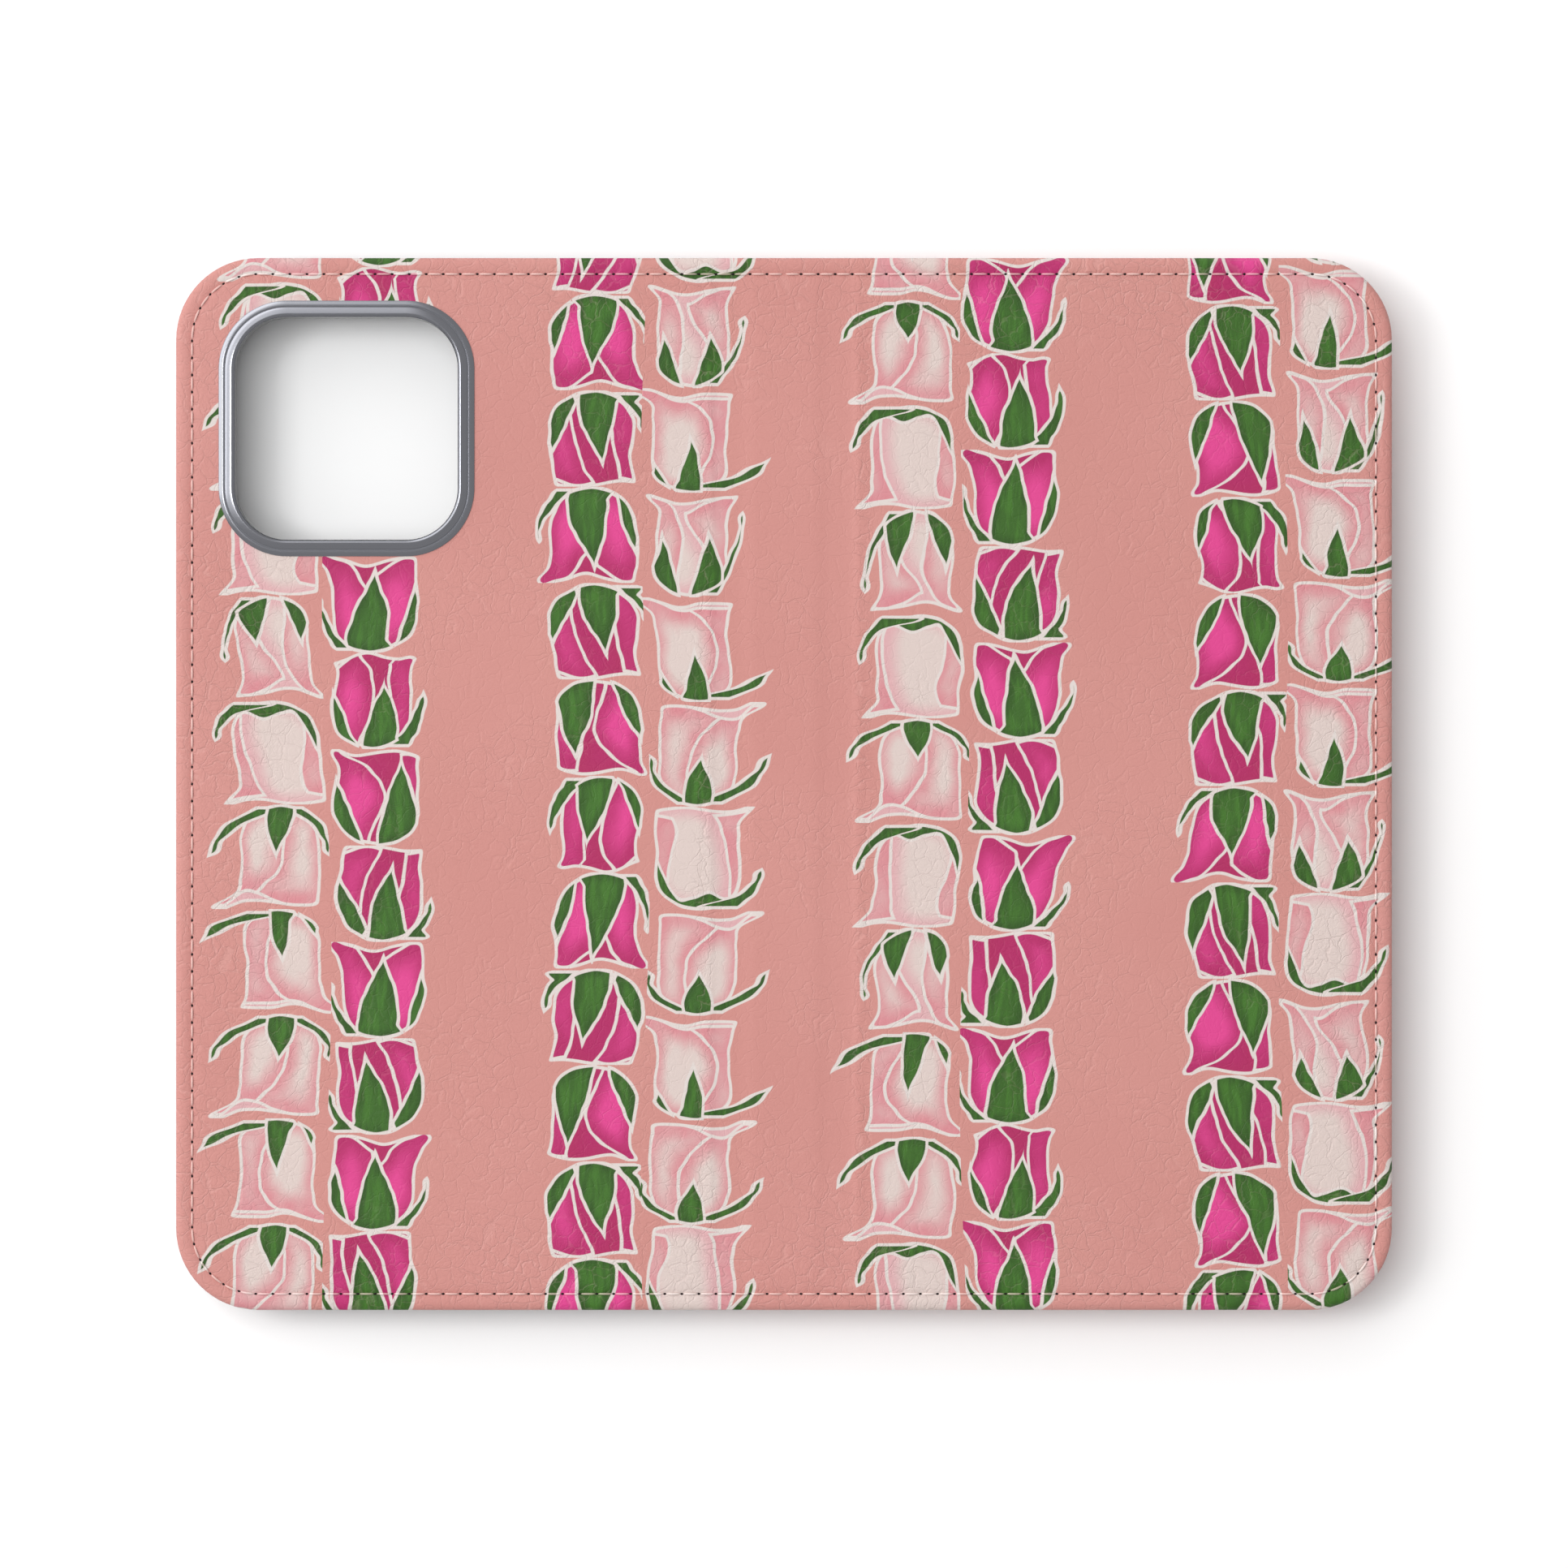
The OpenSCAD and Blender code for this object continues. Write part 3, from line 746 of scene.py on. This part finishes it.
def keepSide(axis, place, keep):  # throws away one side of a plane and closes the cut
    spot, normal = [0, 0, 0], [0, 0, 0]
    spot[axis], normal[axis] = place, 1
    bpy.ops.mesh.select_all(action="SELECT")
    bpy.ops.mesh.bisect(plane_co=spot, plane_no=normal, use_fill=True,
                        clear_inner=keep > 0, clear_outer=keep < 0)


def subtract(piece, cutter, operation="DIFFERENCE"):
    activate(piece)
    tool = piece.modifiers.new("cut", "BOOLEAN")
    tool.operation = operation
    tool.object = cutter
    tool.solver = "EXACT"
    bpy.ops.object.modifier_apply(modifier=tool.name)
    bpy.data.objects.remove(cutter)


def soften(piece, width, segments=2, angle=40):
    activate(piece)
    tool = piece.modifiers.new("edges", "BEVEL")
    tool.width = width
    tool.segments = segments
    tool.limit_method = "ANGLE"
    tool.angle_limit = math.radians(angle)
    tool.use_clamp_overlap = True
    bpy.ops.object.modifier_apply(modifier=tool.name)


def smooth(piece, angle=35):
    activate(piece)
    bpy.ops.object.shade_smooth_by_angle(angle=math.radians(angle))


def printMap(piece):
    layer = piece.data.uv_layers.new(name="print")
    places = np.array([v.co for v in piece.data.vertices])
    corners = np.zeros(len(piece.data.loops), int)
    piece.data.loops.foreach_get("vertex_index", corners)
    spots = places[corners][:, :2] / (garland["sheet"] * mm) + 0.5
    layer.data.foreach_set("uv", spots.astype(np.float32).ravel())


def dress(piece, finish, slotName, *nodes):
    piece.data.materials.clear()
    piece.data.materials.append(finish)
    if nodes:
        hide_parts(*nodes)


def rideHalf(piece):
    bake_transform(piece)


# printed leather

leather = dict(
    cornerRadius=12 * mm,
    over=[(0, 11.5), (0.12, 11.92), (0.47, 12.16), (0.97, 12.28), (1.67, 12.27), (2.12, 12.18),
          (2.4, 12.07), (2.68, 12.18), (3.13, 12.27), (3.93, 12.3)],
    under=[(0, 10.8), (0.2, 10.42), (0.55, 10.22), (0.9, 10.34), (1.15, 10.7)],
    grid=3.0 * mm, foldGrid=0.6 * mm, foldBefore=5 * mm, foldAfter=6 * mm, plainEdge=2 * mm,
    skin=0.6 * mm, swell=0.05 * mm, swellScale=60, calmEdge=4 * mm,
    hollow=0.14 * mm, hollowWidth=2.6 * mm, crease=0.10 * mm, creaseWidth=0.45 * mm,
    boardCorner=8.4 * mm, gap=0.1 * mm, recess=0.3 * mm,
)


def foldCuts():
    return np.arange(foldX - leather["foldBefore"], foldX + leather["foldAfter"], leather["foldGrid"])


def leatherHalf(name, side):
    points = [(d * mm, z * mm) for d, z in leather["over"]]
    below = [(d * mm, z * mm) for d, z in leather["under"]]
    piece = roundedSlab(name, 2 * coverHalf.x, 2 * coverHalf.y, leather["cornerRadius"],
                        below[0][1], points[0][1], segments=16)
    steps(piece, points)
    steps(piece, below, upper=False)
    keepSide(0, 0.0, side)
    cut(0, side * foldCuts())
    flat = foldX + leather["foldAfter"]
    cut(0, side * np.arange(flat, coverHalf.x - leather["plainEdge"], leather["grid"]))
    cut(1, np.arange(-coverHalf.y + leather["grid"], coverHalf.y - leather["plainEdge"], leather["grid"]))
    closeMesh()
    creaseX = -boardHigh.x
    for vertex in piece.data.vertices:
        x, y, z = vertex.co
        if z < topZ - leather["skin"]:
            continue
        inside = min(coverHalf.x - abs(x), coverHalf.y - abs(y)) / leather["calmEdge"]
        calm = max(0.0, min(1.0, inside))
        vertex.co.z += leather["swell"] * noise.noise(Vector((x, y, 0)) * leather["swellScale"]) * calm
        hollow = math.exp(-(((abs(x) - foldX) / leather["hollowWidth"]) ** 4))
        crease = math.exp(-(((abs(x) - creaseX) / leather["creaseWidth"]) ** 2))
        vertex.co.z -= (leather["hollow"] * hollow + leather["crease"] * crease) * calm
    return piece


def boardSpace(side):
    gap = leather["gap"]
    space = roundedSlab("boardSpace", 2 * (-boardLow.x) + gap, 2 * boardHigh.y + gap, leather["boardCorner"],
                        boardLow.z - leather["recess"], boardHigh.z)
    openMesh(space)
    keepSide(0, side * (-boardHigh.x - gap / 2), side)
    closeMesh()
    return space


def buildLeather(finish):
    for name, side, nodes in (("leatherBack", -1, ("leather_back", "leather_spine")),
                              ("leatherFront", 1, ("leather_front",))):
        piece = leatherHalf(name, side)
        subtract(piece, boardSpace(side))
        width, height, _ = spineHigh - spineLow
        subtract(piece, roundedSlab("spineSpace", width + leather["gap"], height + leather["gap"], 0,
                                    boardLow.z - leather["recess"], boardHigh.z))
        if side < 0:
            hole = roundedSlab("hole", *windowHole(), boardLow.z - 5 * mm, topZ + 5 * mm, windowCentre())
            subtract(piece, hole)
        smooth(piece, 40)
        printMap(piece)
        dress(piece, finish, "printed_leather", *nodes)
        rideHalf(piece)


# camera window

bezel = dict(
    flangeRadius=10 * mm, neckWall=0.8 * mm, opening=32.6 * mm, holeRadius=8.5 * mm, gap=0.1 * mm,
    over=[(0, 0.14), (0.06, 0.2), (0.5, 0.43), (0.58, 0.45), (0.8, 0.45), (0.84, 0.34), (0.98, 0.34),
          (1.02, 0.46), (1.08, 0.5), (1.5, 0.68), (1.8, 0.77), (1.92, 0.8), (2.02, 0.79), (2.12, 0.74),
          (2.4, 0.42)],
)


def windowCentre():
    middle = (bezelLow + bezelHigh) / 2
    return middle.x, middle.y


def windowHole():
    width = bezel["opening"] + 2 * (bezel["neckWall"] + bezel["gap"])
    return width, width, bezel["holeRadius"]


def buildBezel(finish):
    width = bezelHigh.x - bezelLow.x
    points = [(d * mm, topZ + z * mm) for d, z in bezel["over"]]
    wall = (width - bezel["opening"]) / 2
    piece = roundedSlab("cameraBezel", width, width, bezel["flangeRadius"], topZ, points[0][1],
                        windowCentre(), 20)
    steps(piece, [*points, (wall, bezelLow.z)])
    bpy.ops.mesh.delete(type="ONLY_FACE")
    steps(piece, [(0, topZ), (wall - bezel["neckWall"], topZ), (wall - bezel["neckWall"], bezelLow.z),
                  (wall, bezelLow.z)], upper=False)
    bpy.ops.mesh.delete(type="ONLY_FACE")
    bpy.ops.mesh.select_all(action="SELECT")
    bpy.ops.mesh.remove_doubles(threshold=0.01 * mm)
    bpy.ops.mesh.normals_make_consistent(inside=False)
    closeMesh()
    smooth(piece, 28)
    dress(piece, finish, "bezel", "camera_bezel")
    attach(piece, "back_panel")


# lining

lining = dict(
    inset=1.0 * mm, back=10.7 * mm,
    edge=[(0, 10.35), (0.1, 10.18), (0.3, 10.1), (1.0, 10.1), (1.4, 10.17), (1.8, 10.1)],
)


def buildLining(finish):
    for name, side, nodes in (("liningBack", -1, ("lining_back", "lining_spine")),
                              ("liningFront", 1, ("lining_front",))):
        width, height = 2 * (coverHalf.x - lining["inset"]), 2 * (coverHalf.y - lining["inset"])
        points = [(d * mm, z * mm) for d, z in lining["edge"]]
        piece = roundedSlab(name, width, height, leather["cornerRadius"] - lining["inset"],
                            points[0][1], lining["back"])
        steps(piece, points, upper=False)
        keepSide(0, 0.0, side)
        cut(0, side * foldCuts())
        closeMesh()
        if side < 0:
            hole = roundedSlab("hole", *windowHole(), 5 * mm, topZ + 5 * mm, windowCentre())
            subtract(piece, hole)
        smooth(piece, 40)
        dress(piece, finish, "lining", *nodes)
        rideHalf(piece)


# thread

stitch = dict(
    inset=2.4 * mm, count=126, length=1.98 * mm, radius=0.17 * mm, high=0.12 * mm, sunk=0.05 * mm,
    groove=12.07 * mm, pocketPitch=2.49 * mm, hole=0.2 * mm, holeShape=(1.15, 0.9, 0.4),
)


def seamPath(name, side, inset, fromX=0.0):
    piece = roundedSlab(name, 2 * (coverHalf.x - inset), 2 * (coverHalf.y - inset),
                        leather["cornerRadius"] - inset, 0, mm, segments=24)
    openMesh(piece)
    pick(lambda middle, face: middle.z > 0.1 * mm)
    bpy.ops.mesh.delete(type="FACE")
    bpy.ops.mesh.select_all(action="SELECT")
    bpy.ops.mesh.bisect(plane_co=(side * fromX, 0, 0), plane_no=(1, 0, 0),
                        clear_inner=side > 0, clear_outer=side < 0)
    bpy.ops.mesh.select_all(action="SELECT")
    bpy.ops.mesh.delete(type="ONLY_FACE")
    pick(lambda middle, edge: abs(middle.x) < fromX + 0.01 * mm, "EDGE")
    bpy.ops.mesh.delete(type="EDGE")
    closeMesh()
    activate(piece)
    bpy.ops.object.convert(target="CURVE")
    path = bpy.context.object
    path.data.dimensions = "3D"
    path.data.twist_mode = "Z_UP"
    return path


def pathLength(path):
    points = [Vector(p.co[:3]) for p in path.data.splines[0].points]
    return sum((b - a).length for a, b in zip(points, points[1:]))


def oneStitch(name, length, radius, down=False):
    bpy.ops.object.select_all(action="DESELECT")
    bpy.ops.mesh.primitive_cylinder_add(vertices=8, radius=radius, depth=length, rotation=(0, math.pi / 2, 0))
    piece = bpy.context.object
    piece.name = name
    bpy.ops.object.transform_apply(location=True, rotation=True, scale=True)
    openMesh(piece)
    cut(0, [length * share for share in (-0.42, -0.3, 0, 0.3, 0.42)])
    closeMesh()
    for vertex in piece.data.vertices:
        far = abs(vertex.co.x) / (length / 2)
        vertex.co.yz = vertex.co.yz * (1 - 0.45 * far ** 4)
        vertex.co.z -= radius * 1.5 * far ** 3
        if down:
            vertex.co.yz = -vertex.co.yz
    return piece


def alongPath(piece, path, count, pitch, start):
    for vertex in piece.data.vertices:
        vertex.co.x += start
    activate(piece)
    row = piece.modifiers.new("row", "ARRAY")
    row.count = count
    row.use_relative_offset = False
    row.use_constant_offset = True
    row.constant_offset_displace = (pitch, 0, 0)
    turn = piece.modifiers.new("turn", "CURVE")
    turn.object = path
    bpy.ops.object.modifier_apply(modifier="row")
    bpy.ops.object.modifier_apply(modifier="turn")


def buildThread(threadFinish, holeShadeFinish, liningThread):
    for tag, side, nodes in (("Back", -1, ("seam_thread_back", "seam_thread_spine")),
                             ("Front", 1, ("seam_thread_front",))):
        path = seamPath("path", side, stitch["inset"])
        pitch = pathLength(path) / stitch["count"]
        thread = oneStitch("seamThread" + tag, stitch["length"], stitch["radius"])
        alongPath(thread, path, stitch["count"], pitch, pitch / 2)
        for vertex in thread.data.vertices:
            vertex.co.z += stitch["groove"] + stitch["high"] + stitch["radius"] * 0.6
        smooth(thread, 60)
        printMap(thread)
        dress(thread, threadFinish, "thread", *nodes)
        rideHalf(thread)

        under = oneStitch("bobbinThread" + tag, stitch["length"], stitch["radius"], down=True)
        alongPath(under, path, stitch["count"], pitch, pitch / 2)
        for vertex in under.data.vertices:
            vertex.co.z += liningLow.z - stitch["high"] + stitch["sunk"]
        smooth(under, 60)
        dress(under, liningThread, "thread")
        rideHalf(under)

        # painted shade: dark dots between the stitches stand for the needle holes
        bpy.ops.object.select_all(action="DESELECT")
        bpy.ops.mesh.primitive_uv_sphere_add(segments=8, ring_count=5, radius=stitch["hole"])
        hole = bpy.context.object
        hole.name = "needleHoles" + tag
        openMesh(hole)
        bpy.ops.mesh.select_all(action="SELECT")
        bpy.ops.transform.resize(value=stitch["holeShape"])
        closeMesh()
        alongPath(hole, path, stitch["count"] - 1, pitch, pitch)
        for vertex in hole.data.vertices:
            vertex.co.z += stitch["groove"] + stitch["sunk"]
        smooth(hole, 60)
        dress(hole, holeShadeFinish, "thread")
        rideHalf(hole)
        bpy.data.objects.remove(path)


# tray

tray = dict(
    radius=11 * mm, wall=1.3 * mm, lip=1.0 * mm, lipReach=0.6 * mm, floor=1.2 * mm, edge=1.5 * mm,
    width=74.5 * mm, side=11.75 * mm, slotZ=4.85 * mm, slotReach=4 * mm,
    sideSlots=((-1, 27.35, 18, 5), (1, 36.35, 38, 5)),
    endSlots=((0, 13, 6), (-19, 14, 3), (19, 14, 3)),
    bossWidth=3 * mm, bossLength=44.3 * mm, bossRadius=0.8 * mm, bossSoft=0.5 * mm, bossY=-40.35 * mm,
    bossLow=0.5 * mm, bossHigh=8.4 * mm, soft=0.18 * mm,
)


def wallSlot(length, height, turn, spot):
    piece = roundedSlab("slot", length, height, height * 0.49,
                        -tray["slotReach"], tray["slotReach"], segments=8)
    piece.rotation_euler = (math.pi / 2, 0, turn)
    piece.location = spot
    activate(piece)
    bpy.ops.object.transform_apply(location=True, rotation=True, scale=True)
    return piece


def buildTray(finish):
    centre = (-tray["side"] - tray["width"] / 2, 0)
    height = trayHigh.y - trayLow.y
    piece = roundedSlab("phoneTray", tray["width"], height, tray["radius"], 0, trayHigh.z - tray["edge"],
                        centre, 20)
    r = tray["edge"]
    arc = [(r * (1 - math.cos(a)), trayHigh.z - r + r * math.sin(a)) for a in np.linspace(0, math.pi / 2, 8)]
    steps(piece, arc)
    closeMesh()
    spot = (trayLow.x + tray["bossWidth"] / 2, tray["bossY"])
    boss = roundedSlab("boss", tray["bossWidth"], tray["bossLength"], tray["bossRadius"],
                       tray["bossLow"], tray["bossHigh"], spot, 6)
    soften(boss, tray["bossSoft"], 4)
    subtract(piece, boss, "UNION")
    wall = 2 * tray["wall"]
    lip = 2 * (tray["wall"] + tray["lipReach"])
    subtract(piece, roundedSlab("cavity", tray["width"] - wall, height - wall, tray["radius"] - wall / 2,
                                tray["lip"], trayHigh.z - tray["floor"], centre, 20))
    subtract(piece, roundedSlab("mouth", tray["width"] - lip, height - lip, tray["radius"] - lip / 2,
                                -mm, tray["lip"] + mm, centre, 20))
    subtract(piece, roundedSlab("hole", *windowHole(), 5 * mm, topZ, windowCentre(), 20))
    for side, y, length, slotHeight in tray["sideSlots"]:
        spot = (centre[0] + side * tray["width"] / 2, y * mm, tray["slotZ"])
        subtract(piece, wallSlot(length * mm, slotHeight * mm, math.pi / 2, spot))
    for x, length, slotHeight in tray["endSlots"]:
        spot = (centre[0] + x * mm, trayLow.y, tray["slotZ"])
        subtract(piece, wallSlot(length * mm, slotHeight * mm, 0, spot))
    soften(piece, tray["soft"], 2, 50)
    smooth(piece, 35)
    dress(piece, finish, "tray", "phone_tray")
    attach(piece, "back_panel")


# pockets

pocket = dict(
    radius=5 * mm, notch=9 * mm, bulge=0.25 * mm, stitchIn=1.5 * mm,
    grid=4 * mm, deep=0.15 * mm, skin=0.12 * mm,
    cashBorder=[(0, 0.15), (0.06, 0.05), (0.25, 0), (1.2, 0), (1.5, 0.06), (1.8, 0), (2.6, 0), (2.9, 0.1),
                (3.3, 0.1)],
    cardBorder=[(0, 0.15), (0.06, 0.05), (0.25, 0), (0.75, 0), (0.95, 0.07), (1.1, 0.07)],
)


def finishPocket(piece, low, finish, node, border, bulge=0.0):
    steps(piece, [(d * mm, low.z + z * mm) for d, z in border], upper=False)
    closeMesh()
    if bulge:
        openMesh(piece)
        west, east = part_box(node)
        cut(0, np.arange(west.x + pocket["grid"], east.x, pocket["grid"]))
        cut(1, np.arange(west.y + pocket["grid"], east.y, pocket["grid"]))
        closeMesh()
        middle, half = (west + east) / 2, (east - west) / 2
        for vertex in piece.data.vertices:
            if vertex.co.z < low.z + pocket["skin"]:
                u, v = (vertex.co.x - middle.x) / half.x, (vertex.co.y - middle.y) / half.y
                vertex.co.z -= bulge * max(0, 1 - u * u) ** 1.5 * max(0, 1 - v ** 4)
    smooth(piece, 40)
    dress(piece, finish, "pocket_leather", node)
    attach(piece, "front_cover")


def buildPockets(finish):
    low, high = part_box("cash_pocket")
    radius = leather["cornerRadius"] - (coverHalf.x - high.x)
    sheet = roundedSlab("cashPocket", 2 * high.x, 2 * high.y, radius, low.z + pocket["deep"], high.z,
                        segments=16)
    openMesh(sheet)
    keepSide(0, low.x, 1)
    closeMesh()
    finishPocket(sheet, low, finish, "cash_pocket", pocket["cashBorder"])
    for name in ("Rear", "Middle", "Front"):
        node = "card_pocket_" + name.lower()
        low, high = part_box(node)
        centre = ((low.x + high.x) / 2, (low.y + high.y + pocket["radius"]) / 2)
        sheet = roundedSlab("cardPocket" + name, high.x - low.x, high.y - low.y + pocket["radius"],
                            pocket["radius"], low.z + pocket["deep"], high.z, centre)
        openMesh(sheet)
        keepSide(1, high.y, -1)
        closeMesh()
        bpy.ops.object.select_all(action="DESELECT")
        spot = (centre[0], high.y + 0.05 * mm, high.z)
        bpy.ops.mesh.primitive_cylinder_add(vertices=36, radius=pocket["notch"], depth=8 * mm, location=spot)
        subtract(sheet, bpy.context.object)
        bulge = pocket["bulge"] if name == "Front" else 0.0
        finishPocket(sheet, low, finish, node, pocket["cardBorder"], bulge)


def stitchRow(start, end, z):
    along = end - start
    count = round(along.length / stitch["pocketPitch"])
    row = oneStitch("row", stitch["length"], stitch["radius"], down=True)
    for vertex in row.data.vertices:
        vertex.co.x += along.length / count / 2
    activate(row)
    more = row.modifiers.new("row", "ARRAY")
    more.count = count
    more.use_relative_offset = False
    more.use_constant_offset = True
    more.constant_offset_displace = (along.length / count, 0, 0)
    bpy.ops.object.modifier_apply(modifier="row")
    row.rotation_euler.z = math.atan2(along.y, along.x)
    row.location = (start.x, start.y, z - stitch["high"] + stitch["sunk"])
    bpy.ops.object.transform_apply(location=True, rotation=True, scale=True)
    return row


def buildPocketThread(finish):
    rows = []
    west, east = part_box("card_pocket_front")
    x = [west.x + pocket["stitchIn"], east.x - pocket["stitchIn"]]
    foot = west.y + pocket["stitchIn"]
    rows.append(stitchRow(Vector((x[0], foot)), Vector((x[1], foot)), west.z))
    for name in ("front", "middle", "rear"):
        low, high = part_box("card_pocket_" + name)
        for side in x:
            rows.append(stitchRow(Vector((side, foot)), Vector((side, high.y)), low.z))
        foot = high.y
    low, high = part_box("cash_pocket")
    path = seamPath("path", 1, coverHalf.x - high.x + pocket["stitchIn"], low.x + 0.5 * mm)
    count = round(pathLength(path) / stitch["pocketPitch"])
    ring = oneStitch("ring", stitch["length"], stitch["radius"], down=True)
    pitch = pathLength(path) / count
    alongPath(ring, path, count, pitch, pitch / 2)
    for vertex in ring.data.vertices:
        vertex.co.z += low.z - stitch["high"] + stitch["sunk"]
    bpy.data.objects.remove(path)
    bpy.ops.object.select_all(action="DESELECT")
    for row in rows:
        row.select_set(True)
    bpy.context.view_layer.objects.active = ring
    ring.select_set(True)
    bpy.ops.object.join()
    ring.name = "pocketThread"
    smooth(ring, 60)
    dress(ring, finish, "thread", "pocket_thread")
    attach(ring, "front_cover")


# everything together


def buildAll():
    printedLeather = makePrintedLeather()
    plain = makePlainLeather("liningLeather", ink("lining"), ink("dullLining"))
    hole = makePaintedHoleShade()
    buildLeather(printedLeather)
    print("leather made")
    buildLining(plain)
    print("lining made")
    liningThread = makePlainLeather("liningThread", ink("liningThread"), ink("dullLiningThread"))
    buildThread(makePrintedThread(), hole, liningThread)
    print("thread made")
    buildBezel(makeGunmetal())
    buildTray(makeSmokedTray())
    print("bezel and tray made")
    buildPockets(plain)
    buildPocketThread(liningThread)
    print("pockets made")
    board, tape, nickel = makeBoard(), makeTape(), makeNickel()
    finishes = {"board_back": board, "board_spine": board, "board_front": board, "mounting_tape": tape,
                "tray_magnets": nickel, "cover_magnets": nickel}
    for node, finish in finishes.items():
        piece = frame["nodes"][node]
        piece.data.materials.clear()
        piece.data.materials.append(finish)


def layFloor():
    bpy.ops.object.select_all(action="DESELECT")
    bpy.ops.mesh.primitive_plane_add(size=view["floorSize"])
    floor = bpy.context.object
    floor.name = "floor"
    finish, _, shader = newFinish("paleFloor")
    shader.inputs["Base Color"].default_value = (*view["floorColour"], 1)
    shader.inputs["Roughness"].default_value = 0.9
    floor.data.materials.append(finish)


setCamera()
setSky()
setLamps()
layFloor()
print("stage set")
buildAll()
print("case finished")
